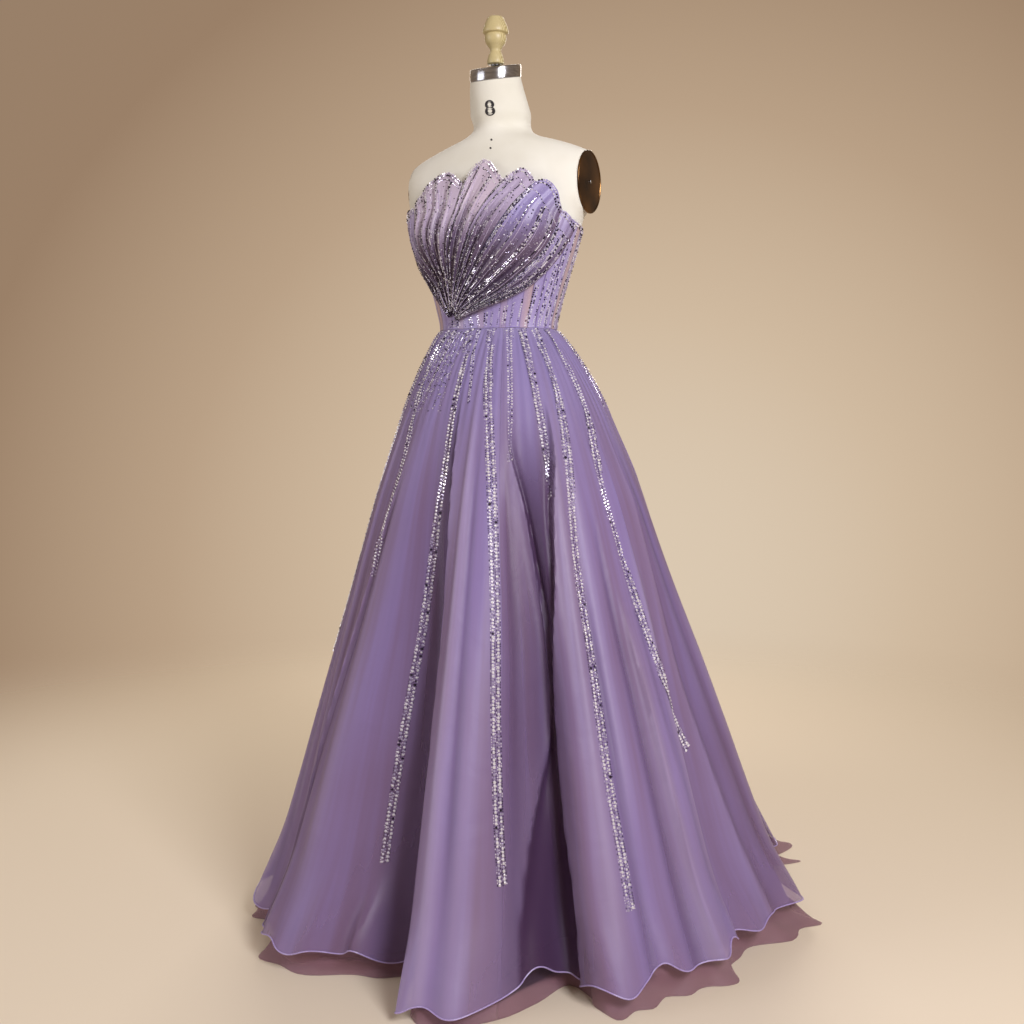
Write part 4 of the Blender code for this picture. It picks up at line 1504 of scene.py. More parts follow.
@dataclass
class Beadwork:
    """Beads collected along lines of cloth and joined into one mesh."""

    name: str
    sides: int = 6
    crown: float = 0.62
    probe: float = 0.002
    places: list = field(default_factory=list)

    def line(self, surface: Surface, route: Route, look: BeadLook,
             seed: int, taper: float = 1.0) -> None:
        """Sew beads along a route over a surface.

        Args:
            surface: The cloth's outer face.
            route: Gives the two surface coordinates for a number from 0 to 1.
            look: The kind of line.
            seed: Seeds the beads' tones and sizes.
            taper: Size of the last beads beside the first.
        """
        spec = look.value
        chance = np.random.default_rng(SEED + seed)
        dense = np.linspace(0.0, 1.0, 400)
        across, along = route(dense)
        middle = surface(across, along)
        travelled = lengths_along(middle)
        count = max(2, int(travelled[-1] / spec.spacing))
        for order, column in enumerate(spec.columns):
            stops = (np.arange(count) + 0.5 * (order % 2) + 0.25) / count * travelled[-1]
            part = np.interp(stops, travelled, dense)
            across, along = route(part)
            base, normal = stand_on(surface, across, along)
            before = surface(*route(np.clip(part - self.probe, 0.0, 1.0)))
            ahead = unit(surface(*route(np.clip(part + self.probe, 0.0, 1.0))) - before)
            beside = np.cross(ahead, normal)
            width = column * (1.0 + (taper - 1.0) * part) + chance.normal(0.0, 0.10 * spec.radius, count)
            size = spec.radius * (1.0 + (taper - 1.0) * part) * chance.uniform(0.82, 1.12, count)
            tone = np.where(chance.random(count) < spec.dark, 0.15, 0.40 + 0.60 * chance.random(count))
            self.places.append((base + beside * width[:, None], ahead, normal, size, tone))

    def scatter(self, surface: Surface, count: int, crowd: float, seed: int, radius: float) -> None:
        """Sew loose beads over a petal, more of them towards its gather.

        Args:
            surface: The cloth's outer face, across and along from 0 to 1.
            count: How many beads.
            crowd: How strongly they crowd towards the gather; 1 is evenly.
            seed: Seeds their places, tones and sizes.
            radius: A bead's radius.
        """
        chance = np.random.default_rng(SEED + seed)
        across = chance.uniform(0.04, 0.96, count)
        along = 0.12 + 0.84 * chance.random(count) ** crowd
        base, normal = stand_on(surface, across, along)
        ahead = unit(np.cross(normal, np.array((0.0, 0.0, 1.0))))
        size = radius * chance.uniform(0.6, 1.3, count)
        self.places.append((base, ahead, normal, size, chance.random(count)))

    def build(self, finish: Material) -> Piece:
        """Join all the beads into one mesh, each a low faceted crystal.

        Args:
            finish: Its material.

        Returns:
            The object.
        """
        point, ahead, normal, size, tone = (np.concatenate(column) for column in zip(*self.places))
        beside = np.cross(normal, ahead)
        angle = np.arange(self.sides) * 2.0 * math.pi / self.sides
        ring = np.stack((np.cos(angle), np.sin(angle), np.zeros(self.sides)), axis=-1)
        shape = np.vstack((ring, [[0.0, 0.0, self.crown * 1.5]], [[0.0, 0.0, -self.crown * 0.5]]))
        shape[:, 2] += self.crown * 0.35
        local = shape[None, :, :] * size[:, None, None]
        vertices = point[:, None, :] + local[..., 0:1] * ahead[:, None, :]
        vertices = vertices + local[..., 1:2] * beside[:, None, :] + local[..., 2:3] * normal[:, None, :]
        corners = []
        for side in range(self.sides):
            after = (side + 1) % self.sides
            corners.append((side, after, self.sides))
            corners.append((after, side, self.sides + 1))
        starts = np.arange(len(point))[:, None, None] * len(shape)
        faces = (np.array(corners)[None] + starts).reshape(-1, 3)
        piece = mesh_object(self.name, vertices.reshape(-1, 3), faces.tolist(), finish)
        set_attribute(piece, "tone", np.repeat(tone, len(shape)))
        logging.info("%s: %d beads", self.name, len(point))
        return piece


@dataclass
class PipedLines:
    """Thin corded piping sewn along lines of a surface and joined into one mesh."""

    name: str
    radius: float = 0.0008
    points: int = 44
    sides: int = 6
    vertices: list = field(default_factory=list)
    faces: list = field(default_factory=list)

    def line(self, surface: Surface, route: Route) -> None:
        """Sew one line of piping, closed at both ends.

        Args:
            surface: The cloth's outer face.
            route: Gives the two surface coordinates for a number from 0 to 1.
        """
        part = np.linspace(0.0, 1.0, self.points)
        across, along = route(part)
        base, normal = stand_on(surface, across, along)
        ahead = unit(np.gradient(base, axis=0))
        beside = np.cross(ahead, normal)
        radius = self.radius * (0.35 + 0.65 * np.sin(np.clip(part * 8.0, 0.0, 1.0) * math.pi / 2))
        start = len(self.vertices)
        for side in range(self.sides):
            angle = 2.0 * math.pi * side / self.sides
            way = math.cos(angle) * beside + (math.sin(angle) + 0.6) * normal
            self.vertices.extend((base + way * radius[:, None]).tolist())
        for side in range(self.sides):
            here = start + side * self.points
            there = start + (side + 1) % self.sides * self.points
            for point in range(self.points - 1):
                self.faces.append((here + point, there + point, there + point + 1, here + point + 1))
        ends = [start + side * self.points for side in range(self.sides)]
        self.faces.append(tuple(reversed(ends)))
        self.faces.append(tuple(end + self.points - 1 for end in ends))

    def build(self, finish: Material) -> Piece:
        """Join all the lines into one mesh, with its faces turned outwards.

        Args:
            finish: Its material.

        Returns:
            The object.
        """
        piece = mesh_object(self.name, np.array(self.vertices), self.faces, finish)
        shell = bmesh.new()
        shell.from_mesh(piece.data)
        bmesh.ops.recalc_face_normals(shell, faces=shell.faces)
        shell.to_mesh(piece.data)
        shell.free()
        smooth(piece)
        return piece


def select_nothing() -> None:
    """Deselect every object."""
    for piece in bpy.context.selected_objects:
        piece.select_set(False)


def settle(piece: Piece) -> Piece:
    """Put an object's place into its mesh and leave the object at the origin.

    Args:
        piece: The piece.

    Returns:
        The piece.
    """
    piece.data.transform(piece.matrix_world)
    piece.matrix_world = Matrix.Identity(4)
    return piece


def bevel_all(offset: float, segments: int) -> None:
    """Round every edge of the active piece.

    Args:
        offset: How far the rounding reaches from an edge.
        segments: How many faces it takes.
    """
    bpy.ops.object.mode_set(mode="EDIT")
    bpy.ops.mesh.select_all(action="SELECT")
    bpy.ops.mesh.bevel(offset=offset, segments=segments, affect="EDGES")
    bpy.ops.object.mode_set(mode="OBJECT")


FINIAL_PROFILE = (
    (0.0000, 0.0146), (0.0010, 0.0160), (0.0050, 0.0165), (0.0100, 0.0156), (0.0175, 0.0136),
    (0.0260, 0.0106), (0.0325, 0.0134), (0.0390, 0.0182), (0.0450, 0.0206), (0.0510, 0.0212),
    (0.0555, 0.0204), (0.0570, 0.0200), (0.0590, 0.0240), (0.0615, 0.0250), (0.0670, 0.0244),
    (0.0740, 0.0222), (0.0820, 0.0186), (0.0880, 0.0160), (0.0905, 0.0120), (0.0915, 0.0020),
)


@dataclass
class DressForm:
    """The limbless form: jersey-covered torso, neck cap, finial, arm plates, pole and base."""

    torso: TorsoShape
    columns: int = 132
    rows: int = 150
    arm_flat: float = 0.1860
    cap_radius: float = 0.0500
    cap_height: float = 0.0240
    plate_rise: float = 0.281
    plate_back: float = 0.032
    plate_half_height: float = 0.060
    plate_half_depth: float = 0.054
    plate_thick: float = 0.0025
    plate_insets: tuple = ((0.0012, 0.0012), (0.0016, 0.0), (0.0010, -0.0012), (0.006, 0.0004),
                           (0.010, 0.0005), (0.012, 0.0004))
    cap_bevel: float = 0.0022
    screw_radius: float = 0.0034
    screw_height: float = 0.0024
    screw_stand: float = 0.0022
    screw_bevel: float = 0.0010
    number_size: float = 0.044
    number_thick: float = 0.0002
    number_weight: float = 0.0007
    number_turn: float = 8.0
    number_rise: float = 0.4275
    pin_radius: float = 0.0021
    pin_height: float = 0.0010
    pin_bevel: float = 0.0004
    pins: tuple = (("neck_pin_upper", 7.0, 0.3625), ("neck_pin_lower", 5.6, 0.3455))
    collar_radius: float = 0.0090
    collar_groove: float = 0.0080
    collar_foot: float = 0.0086
    collar_round: float = 0.0006
    ink_stand: float = 0.0003

    def build_torso(self, cover: Material) -> Piece:
        """The covered torso, closed at its foot and neck.

        Args:
            cover: The cover's material.

        Returns:
            The piece.
        """
        rises = np.linspace(TORSO[0].rise, TORSO[-1].rise, self.rows)[:, None]
        turns = np.linspace(0.0, 360.0, self.columns, endpoint=False)[None, :]
        rings = self.torso.point(turns + 0.0 * rises, rises + 0.0 * turns)
        rings[..., 0] = np.clip(rings[..., 0], -self.arm_flat, self.arm_flat)
        index = np.arange(self.rows * self.columns).reshape(self.rows, self.columns)
        after = np.roll(index, -1, axis=1)
        quads = np.stack((index[:-1], after[:-1], after[1:], index[1:]), axis=-1).reshape(-1, 4).tolist()
        faces = quads + [index[0, ::-1].tolist(), index[-1].tolist()]
        piece = mesh_object("torso_cover", rings.reshape(-1, 3), faces, cover)
        smooth(piece)
        return own(piece, Slot.COVER, "form_torso")

    def build_cap(self, chrome: Material) -> Piece:
        """The chrome band on the neck, a drum with rounded edges sheared to the neck's tilt.

        Args:
            chrome: The chrome.

        Returns:
            The piece.
        """
        select_nothing()
        foot = self.torso.waist + TORSO[-1].rise + SEAM_GAP
        bpy.ops.mesh.primitive_cylinder_add(vertices=96, radius=self.cap_radius, depth=self.cap_height,
                                            location=(0.0, 0.0, foot + self.cap_height / 2.0))
        piece = settle(bpy.context.object)
        piece.name = "neck_cap_band"
        bevel_all(self.cap_bevel, 4)
        shear = Matrix.Identity(4)
        shear[2][1] = math.tan(math.radians(self.torso.neck_tilt))
        piece.data.transform(shear)
        piece.data.materials.append(chrome)
        smooth(piece, 40.0)
        return own(piece, Slot.CHROME, "form_neck_cap")

    def spun(self, name: str, profile: tuple, foot: float, finish: Material) -> Piece:
        """Spin a profile of height and radius about the pole's axis.

        Args:
            name: Its name.
            profile: Rows of height and radius.
            foot: Height of its foot.
            finish: Its material.

        Returns:
            The piece.
        """
        select_nothing()
        rows = np.array(profile)
        steps = np.linspace(0.0, 1.0, 12 * (len(rows) - 1) + 1)
        keyed = tuple((index / (len(rows) - 1), *row) for index, row in enumerate(rows.tolist()))
        curve = curve_through(keyed, steps)
        points = [(0.0, 0.0, foot + curve[0][0])]
        points += [(radius, 0.0, foot + height) for height, radius in curve]
        points += [(0.0, 0.0, foot + curve[-1][0])]
        mesh = bpy.data.meshes.new(name)
        mesh.from_pydata(points, [(index, index + 1) for index in range(len(points) - 1)], [])
        piece = bpy.data.objects.new(name, mesh)
        bpy.context.scene.collection.objects.link(piece)
        piece.select_set(True)
        bpy.context.view_layer.objects.active = piece
        bpy.ops.object.mode_set(mode="EDIT")
        bpy.ops.mesh.select_all(action="SELECT")
        bpy.ops.mesh.spin(steps=64, angle=math.tau, center=(0.0, 0.0, 0.0), axis=(0.0, 0.0, 1.0))
        bpy.ops.mesh.select_all(action="SELECT")
        bpy.ops.mesh.remove_doubles(threshold=0.00001)
        bpy.ops.mesh.normals_make_consistent(inside=False)
        bpy.ops.object.mode_set(mode="OBJECT")
        mesh.materials.append(finish)
        smooth(piece, 40.0)
        return piece

    def build_finial(self, wood: Material) -> Piece:
        """The turned finial, fitted to its solid's box."""
        piece = self.spun("turned_finial", FINIAL_PROFILE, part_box("form_finial")[0].z, wood)
        return own(piece, Slot.FINIAL, "form_finial")

    def build_stud(self, chrome: Material) -> Piece:
        """The threaded stud's collar under the finial.

        Args:
            chrome: The chrome.

        Returns:
            The piece.
        """
        low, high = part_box("form_finial_stud")
        tall = high.z - low.z
        wide = self.collar_radius
        profile = ((0.0, self.collar_foot), (self.collar_round, wide), (tall * 0.45, wide),
                   (tall * 0.5, self.collar_groove), (tall * 0.55, wide), (tall - self.collar_round, wide),
                   (tall, self.collar_foot))
        piece = self.spun("finial_collar", profile, low.z, chrome)
        return own(piece, Slot.CHROME, "form_finial_stud")

    def build_plate(self, side: int, bronze: Material) -> Piece:
        """An oval arm plate: a disc with a raised rim and a dished face.

        Args:
            side: 1 for left, -1 for right.
            bronze: The bronze.

        Returns:
            The piece.
        """
        label = "left" if side > 0 else "right"
        select_nothing()
        middle = (side * (self.arm_flat + SEAM_GAP + self.plate_thick / 2.0), self.plate_back,
                  self.torso.waist + self.plate_rise)
        bpy.ops.mesh.primitive_cylinder_add(vertices=96, radius=1.0, depth=self.plate_thick, location=middle,
                                            rotation=(0.0, side * math.pi / 2.0, 0.0))
        piece = settle(bpy.context.object)
        piece.name = "arm_plate_" + label
        bpy.ops.object.mode_set(mode="EDIT")
        bpy.ops.mesh.select_all(action="SELECT")
        bpy.ops.transform.resize(value=(1.0, self.plate_half_depth, self.plate_half_height),
                                 center_override=middle)
        bpy.ops.mesh.select_all(action="DESELECT")
        bpy.ops.object.mode_set(mode="OBJECT")
        for face in piece.data.polygons:
            face.select = face.normal.x * side > 0.9
        bpy.ops.object.mode_set(mode="EDIT")
        bpy.ops.mesh.select_mode(type="FACE")
        for thickness, depth in self.plate_insets:
            bpy.ops.mesh.inset(thickness=thickness, depth=depth)
        bpy.ops.object.mode_set(mode="OBJECT")
        piece.data.materials.append(bronze)
        smooth(piece, 45.0)
        return own(piece, Slot.BRONZE, "form_arm_plate_" + label)

    def build_screw(self, side: int, chrome: Material) -> Piece:
        """The small domed screw in an arm plate.

        Args:
            side: 1 for left, -1 for right.
            chrome: The chrome.

        Returns:
            The piece.
        """
        select_nothing()
        label = "left" if side > 0 else "right"
        x = side * (self.arm_flat + SEAM_GAP + self.plate_thick + self.screw_stand)
        bpy.ops.mesh.primitive_cylinder_add(vertices=24, radius=self.screw_radius, depth=self.screw_height,
                                            location=(x, self.plate_back, self.torso.waist + self.plate_rise),
                                            rotation=(0.0, side * math.pi / 2.0, 0.0))
        piece = settle(bpy.context.object)
        piece.name = "arm_plate_screw_" + label
        bevel_all(self.screw_bevel, 3)
        piece.data.materials.append(chrome)
        smooth(piece, 40.0)
        return own(piece, Slot.CHROME)

    def on_neck(self, piece: Piece, turn: float, rise: float) -> Piece:
        """Lay a flat piece, drawn in X and Y, on the form's skin at a turn and rise.

        Args:
            piece: The piece.
            turn: Turns in degrees.
            rise: Rises in metres.

        Returns:
            The piece.
        """
        flat = np.array([vertex.co for vertex in piece.data.vertices])
        here = np.array([turn])
        there = np.array([rise])
        per_degree = np.linalg.norm(self.torso.point(here + 0.5, there) - self.torso.point(here - 0.5, there))
        turns = turn + flat[:, 0] / per_degree
        rises = rise + flat[:, 1]
        points = moved_out(self.torso.point, turns, rises, self.ink_stand + flat[:, 2])
        for vertex, point in zip(piece.data.vertices, points):
            vertex.co = point
        return piece

    def build_number(self, ink: Material) -> Piece:
        """The plain size number printed on the neck.

        Args:
            ink: The ink.

        Returns:
            The piece.
        """
        select_nothing()
        bpy.ops.object.text_add()
        text = bpy.context.object
        text.data.body = "8"
        text.data.size = self.number_size
        text.data.align_x = "CENTER"
        text.data.align_y = "CENTER"
        text.data.extrude = self.number_thick
        text.data.offset = self.number_weight
        text.data.resolution_u = 6
        bpy.ops.object.convert(target="MESH")
        piece = bpy.context.object
        piece.name = "size_number"
        piece.data.materials.clear()
        piece.data.materials.append(ink)
        return own(self.on_neck(piece, self.number_turn, self.number_rise), Slot.COVER)

    def build_dot(self, label: str, turn: float, rise: float, ink: Material) -> Piece:
        """A small pinhead under the number.

        Args:
            label: Its name.
            turn: Turns in degrees.
            rise: Rises in metres.
            ink: The ink.

        Returns:
            The piece.
        """
        select_nothing()
        bpy.ops.mesh.primitive_cylinder_add(vertices=20, radius=self.pin_radius, depth=self.pin_height,
                                            location=(0.0, 0.0, 0.0))
        piece = settle(bpy.context.object)
        piece.name = label
        bevel_all(self.pin_bevel, 2)
        piece.data.materials.append(ink)
        smooth(piece)
        return own(self.on_neck(piece, turn, rise), Slot.COVER)

    def build(self, frame: dict) -> None:
        """Build and dress every piece of the form.
        """
        cover = CottonJersey("cotton_jersey").make()
        chrome = Metal("polished_chrome_plate").make()
        wood = TurnedPine("waxed_turned_pine").make()
        bronze = Metal("lacquered_bronze", "#7C5A34", "#33241A", 0.26, 0.9, 11.0, (1.0, 1.0, 1.0)).make()
        iron = Metal("cast_iron_black", "#1C1B1B", "#141313", 0.45, 0.7, 60.0).make()
        ink = PlainPaint("black_printing_ink").make()
        self.build_torso(cover)
        self.build_cap(chrome)
        self.build_stud(chrome)
        self.build_finial(wood)
        for side in (1, -1):
            self.build_plate(side, bronze)
            self.build_screw(side, chrome)
        self.build_number(ink)
        for label, turn, rise in self.pins:
            self.build_dot(label, turn, rise, ink)
        for node in ("form_pole", "form_base"):
            solid = frame["nodes"][node]
            solid.data.materials.clear()
            solid.data.materials.append(iron)
        logging.info("dress form built")


@dataclass
class Bodice:
    """The boned satin bodice, seven panels cut to the form."""

    torso: TorsoShape
    rows: int = 40
    height: float = 0.20
    nude_from: float = 40.0
    nude_over: float = 12.0
    nude_front: float = 0.35

    def surface(self, turn: Grid, rise: Grid) -> Grid:
        """The bodice's outer face."""
        return moved_out(self.torso.point, turn, rise, LINING_CLEAR + BODICE_WALL)

    def build(self) -> None:
        """Build the panels."""
        satin = StripedSatin("boned_violet_satin").make()
        for panel in BODICE_PANELS:
            steps = np.linspace(0.0, 1.0, self.rows)
            turns = panel_turns(self.torso.point, panel, steps * self.height)
            top = curve_through(BODICE_TOP, wrap_turn(turns), around=360.0)[..., 0]
            rises = SEAM_GAP + (top - SEAM_GAP) * steps[:, None]
            outer = self.surface(turns, rises)
            inner = moved_out(self.torso.point, turns, rises, LINING_CLEAR + BODICE_WALL - CLOTH_THICK)
            piece = ClothSheet(panel.name + "_cloth", outer, inner).build(satin, False)
            nude = ease((np.abs(wrap_turn(turns)) - self.nude_from) / self.nude_over)
            nude = self.nude_front + (1.0 - self.nude_front) * nude
            set_both(piece, "nude", nude)
            own(piece, Slot.SATIN, panel.name)
        logging.info("bodice panels: %d", len(BODICE_PANELS))


class BodiceLine(NamedTuple):
    """A bead line on the bodice under the fan, from the waist seam upwards."""

    foot_turn: float
    head_turn: float
    head_rise: float
    look: BeadLook


BODICE_LINES = tuple(BodiceLine(*row) for row in (
    (-39.0, -36.0, 0.024, BeadLook.THREAD), (-35.0, -33.0, 0.022, BeadLook.VEIN),
    (-31.0, -30.0, 0.022, BeadLook.DOUBLE), (-27.0, -27.0, 0.022, BeadLook.VEIN),
    (-22.0, -24.0, 0.024, BeadLook.DOUBLE), (-14.0, -17.0, 0.022, BeadLook.THREAD),
    (-6.0, -9.0, 0.024, BeadLook.DOUBLE), (1.0, -1.0, 0.028, BeadLook.VEIN),
    (7.0, 8.0, 0.034, BeadLook.DOUBLE), (13.0, 14.0, 0.036, BeadLook.VEIN),
    (19.0, 21.0, 0.042, BeadLook.THREAD), (25.0, 27.0, 0.046, BeadLook.DOUBLE),
    (32.0, 34.0, 0.052, BeadLook.VEIN), (40.0, 42.0, 0.060, BeadLook.SINGLE),
    (50.0, 55.0, 0.085, BeadLook.DOUBLE), (58.0, 64.0, 0.100, BeadLook.FINE),
    (66.0, 72.0, 0.125, BeadLook.DOUBLE), (76.0, 81.0, 0.186, BeadLook.DOUBLE),
    (86.0, 91.0, 0.190, BeadLook.SINGLE), (96.0, 102.0, 0.190, BeadLook.DOUBLE),
    (108.0, 114.0, 0.184, BeadLook.SINGLE), (120.0, 126.0, 0.172, BeadLook.DOUBLE),
    (134.0, 138.0, 0.162, BeadLook.SINGLE), (148.0, 151.0, 0.154, BeadLook.DOUBLE),
    (163.0, 165.0, 0.150, BeadLook.SINGLE), (176.0, 176.5, 0.148, BeadLook.DOUBLE),
    (-163.0, -165.0, 0.150, BeadLook.SINGLE), (-148.0, -151.0, 0.154, BeadLook.DOUBLE),
    (-134.0, -138.0, 0.162, BeadLook.SINGLE), (-120.0, -124.0, 0.172, BeadLook.DOUBLE),
    (-106.0, -109.0, 0.184, BeadLook.SINGLE), (-93.0, -95.0, 0.190, BeadLook.DOUBLE),
    (-80.0, -84.0, 0.160, BeadLook.FINE),
))


@dataclass
class PetalFan:
    """Six pleated petals gathered at the wearer's right of the waist seam."""

    shape: FanShape
    rows: int = 56
    columns_per_ridge: int = 15
    # Painted shade in the pleat valleys, fading before the tips
    valley_shade: float = 0.88
    valley_fade_from: float = 0.55
    valley_fade_over: float = 0.35

    def build(self) -> None:
        """Build the petals."""
        mesh_finish = SequinnedMesh("sequinned_pleated_mesh").make()
        for petal in PETALS:
            surface = self.shape.surface(petal)
            columns = self.columns_per_ridge * petal.ridges + 1
            steps = np.linspace(0.0, 1.0, columns)[None, :]
            along = np.linspace(self.shape.fan_start, 1.0, self.rows)[:, None]
            low = surface(np.zeros_like(along), along)
            high = surface(np.ones_like(along), along)
            inset = 0.5 * SEAM_GAP / np.maximum(np.linalg.norm(high - low, axis=-1), 1e-4)
            across = inset + (1.0 - 2.0 * inset) * steps
            grid = along + 0.0 * across
            outer = surface(across, grid)
            turn, rise = self.shape.path(petal, across, grid)
            out = LINING_CLEAR + BODICE_WALL + self.shape.lift(petal, across, grid) - CLOTH_THICK
            inner = moved_out(self.shape.torso.point, turn, rise, out)
            piece = ClothSheet(petal.name + "_cloth", outer, inner).build(mesh_finish, False)
            # Painted shade in the pleat valleys, for the mesh's colour
            wave = self.shape.wave(petal, across)
            fade = 1.0 - ease((grid - self.valley_fade_from) / self.valley_fade_over)
            valley = (1.0 - wave) ** 2 * self.valley_shade * fade
            side = across if petal.gloom > 0.0 else 1.0 - across
            reach = np.clip(grid - abs(petal.gloom) * side, 0.0, 1.0)
            set_both(piece, "reach", reach)
            set_both(piece, "valley", valley)
            set_attribute(piece, "warmth", np.full(2 * grid.size, petal.warmth))
            own(piece, Slot.PETAL, petal.name)
        logging.info("petals: %d", len(PETALS))


class SkirtLine(NamedTuple):
    """A bead line down the skirt: its look and the turn and drop of each point it passes."""

    look: BeadLook
    taper: float
    path: tuple


FRONT_LINES = (
    SkirtLine(BeadLook.BAND, 0.8, ((-37.0, 0.004), (-32.5, 0.092), (-25.0, 0.188), (-22.0, 0.272),
                                   (-21.5, 0.428))),
    SkirtLine(BeadLook.DOUBLE, 0.8, ((-25.5, 0.004), (-21.5, 0.080), (-23.5, 0.112))),
    SkirtLine(BeadLook.STRONG, 0.9, ((-7.0, 0.004), (-0.5, 0.052), (0.5, 0.112), (0.0, 0.232), (-3.0, 0.340),
                                     (-5.5, 0.456), (-7.0, 0.620), (-7.5, 0.776), (-7.5, 0.864))),
    SkirtLine(BeadLook.DOUBLE, 0.7, ((2.0, 0.004), (8.0, 0.096), (9.5, 0.132))),
    SkirtLine(BeadLook.BAND, 1.2, ((15.0, 0.004), (19.5, 0.120), (23.0, 0.244), (24.5, 0.380), (25.0, 0.596),
                                   (25.5, 0.756), (26.0, 0.856))),
    SkirtLine(BeadLook.BAND, 0.6, ((31.0, 0.004), (31.0, 0.120), (30.0, 0.230))),
    SkirtLine(BeadLook.STRONG, 0.8, ((44.5, 0.004), (45.5, 0.096), (46.5, 0.192), (46.0, 0.290))),
    SkirtLine(BeadLook.BAND, 1.1, ((57.5, 0.004), (59.5, 0.080), (58.0, 0.160), (54.5, 0.280), (52.5, 0.384),
                                   (52.5, 0.536), (52.0, 0.716), (52.5, 0.832), (52.5, 0.908))),
    SkirtLine(BeadLook.BAND, 1.2, ((76.0, 0.004), (77.5, 0.068), (76.5, 0.148), (71.5, 0.252), (71.5, 0.356),
                                   (73.0, 0.468), (77.5, 0.604), (84.5, 0.716))),
    SkirtLine(BeadLook.DOUBLE, 0.7, ((105.0, 0.004), (103.0, 0.064), (101.0, 0.140))),
    SkirtLine(BeadLook.STAR, 1.0, ((-0.9, 0.076), (-0.4, 0.090))),
)


class HiddenLine(NamedTuple):
    """A bead line on a side the photograph does not show: foot, end and drift."""

    turn: float
    drop: float
    drift: float
    look: BeadLook


HIDDEN_LINES = tuple(HiddenLine(*row) for row in (
    (120.0, 0.62, 4.0, BeadLook.BAND), (135.0, 0.24, -2.0, BeadLook.STRONG),
    (150.0, 0.86, -3.0, BeadLook.BAND), (166.0, 0.20, 1.0, BeadLook.DOUBLE),
    (-178.0, 0.78, 2.0, BeadLook.BAND), (-162.0, 0.26, -1.0, BeadLook.STRONG),
    (-146.0, 0.88, 3.0, BeadLook.BAND), (-130.0, 0.18, 1.0, BeadLook.DOUBLE),
    (-114.0, 0.70, -3.0, BeadLook.BAND), (-98.0, 0.30, 2.0, BeadLook.STRONG),
    (-82.0, 0.84, 3.0, BeadLook.BAND), (-66.0, 0.22, -1.0, BeadLook.DOUBLE),
    (-52.0, 0.58, 4.0, BeadLook.BAND),
))


@dataclass
class Skirt:
    """The outer organza skirt of seven gores, and the longer tulle underskirt."""

    shape: SkirtShape
    rows: int = 84
    crowding: float = 1.1
    under_columns: int = 52
    under_rows: int = 54
    splay_rows: int = 22
    under_gap: float = 0.0006
    under_shade_over: float = 0.4
    hem_points: int = 900
    hem_radius: float = 0.0013

    def build_outer(self, organza: Material) -> None:
        """The seven outer gores."""
        falls = -np.linspace(0.0, 1.0, self.rows) ** self.crowding
        for panel in SKIRT_PANELS:
            turns = panel_turns(self.shape.outer, panel, falls)
            grid = np.broadcast_to(falls[:, None], turns.shape)
            outer = self.shape.draped(turns, grid)
            above = np.maximum(grid, -SHORT_OF_HEM)
            inner = outer + (moved_out(self.shape.outer, turns, above, -CLOTH_THICK)
                             - self.shape.outer(turns, above))
            inner[..., 2] = np.minimum(inner[..., 2], self.shape.torso.waist)
            piece = ClothSheet(panel.name + "_cloth", outer, inner).build(organza, True)
            # Painted shade in folds and painted highlight on ridges, stored for the organza's colour
            dark, light = self.shape.shade(turns, -grid)
            set_both(piece, "valley", dark)
            set_both(piece, "ridge", light)
            own(piece, Slot.SKIRT, panel.name)

    def build_under(self, tulle: Material) -> None:
        """The seven underskirt gores, splayed on the floor."""
        drops = np.concatenate((np.linspace(0.02, 0.96, self.under_rows - self.splay_rows),
                                np.linspace(0.97, 2.0, self.splay_rows)))
        for panel, flat in zip(SKIRT_PANELS, UNDERSKIRT_CUTS):
            narrower = panel._replace(columns=self.under_columns)
            turns = panel_turns(self.shape.under, narrower, -drops, self.under_gap)
            grid = np.broadcast_to(-drops[:, None], turns.shape)
            outer = self.shape.under(turns, grid)
            inner = moved_out(self.shape.under, turns, grid, -CLOTH_THICK)
            outer[..., 2] = np.maximum(outer[..., 2], self.shape.floor_clear + CLOTH_THICK)
            inner[..., 2] = np.maximum(inner[..., 2], self.shape.floor_clear)
            piece = ClothSheet("under" + panel.name + "_cloth", outer, inner).build(tulle, True)
            # Painted fold shade for the tulle, faded out past the hem
            dark = self.shape.shade(turns, np.clip(-grid, 0.0, 1.0))[0]
            dark = dark * (1.0 - ease((-grid - 1.0) / self.under_shade_over))
            set_both(piece, "valley", dark)
            own(piece, Slot.TULLE, "under" + panel.name)

    def build_rolled_hem(self, edge: Material) -> None:
        """The fine rolled edge along the outer hem.

        Args:
            edge: The hem's material.
        """
        rolled = PipedLines("skirt_rolled_hem", self.hem_radius, self.hem_points, 5)

        def round_hem(part: Grid) -> tuple[Grid, Grid]:
            """Once round the hem, from the centre back."""
            return -180.0 + 360.0 * part, np.full_like(part, -SHORT_OF_HEM)

        rolled.line(self.shape.draped, round_hem)
        own(rolled.build(edge), Slot.SKIRT)

    def build(self) -> None:
        """Build both layers."""
        self.build_outer(Organza("violet_silk_organza").make())
        self.build_under(Tulle("mauve_tulle").make())
        self.build_rolled_hem(SatinCord("rolled_organza_edge", "#BDACDC", "#8F7DB6").make())
        logging.info("skirt gores: %d over %d", len(SKIRT_PANELS), len(SKIRT_PANELS))


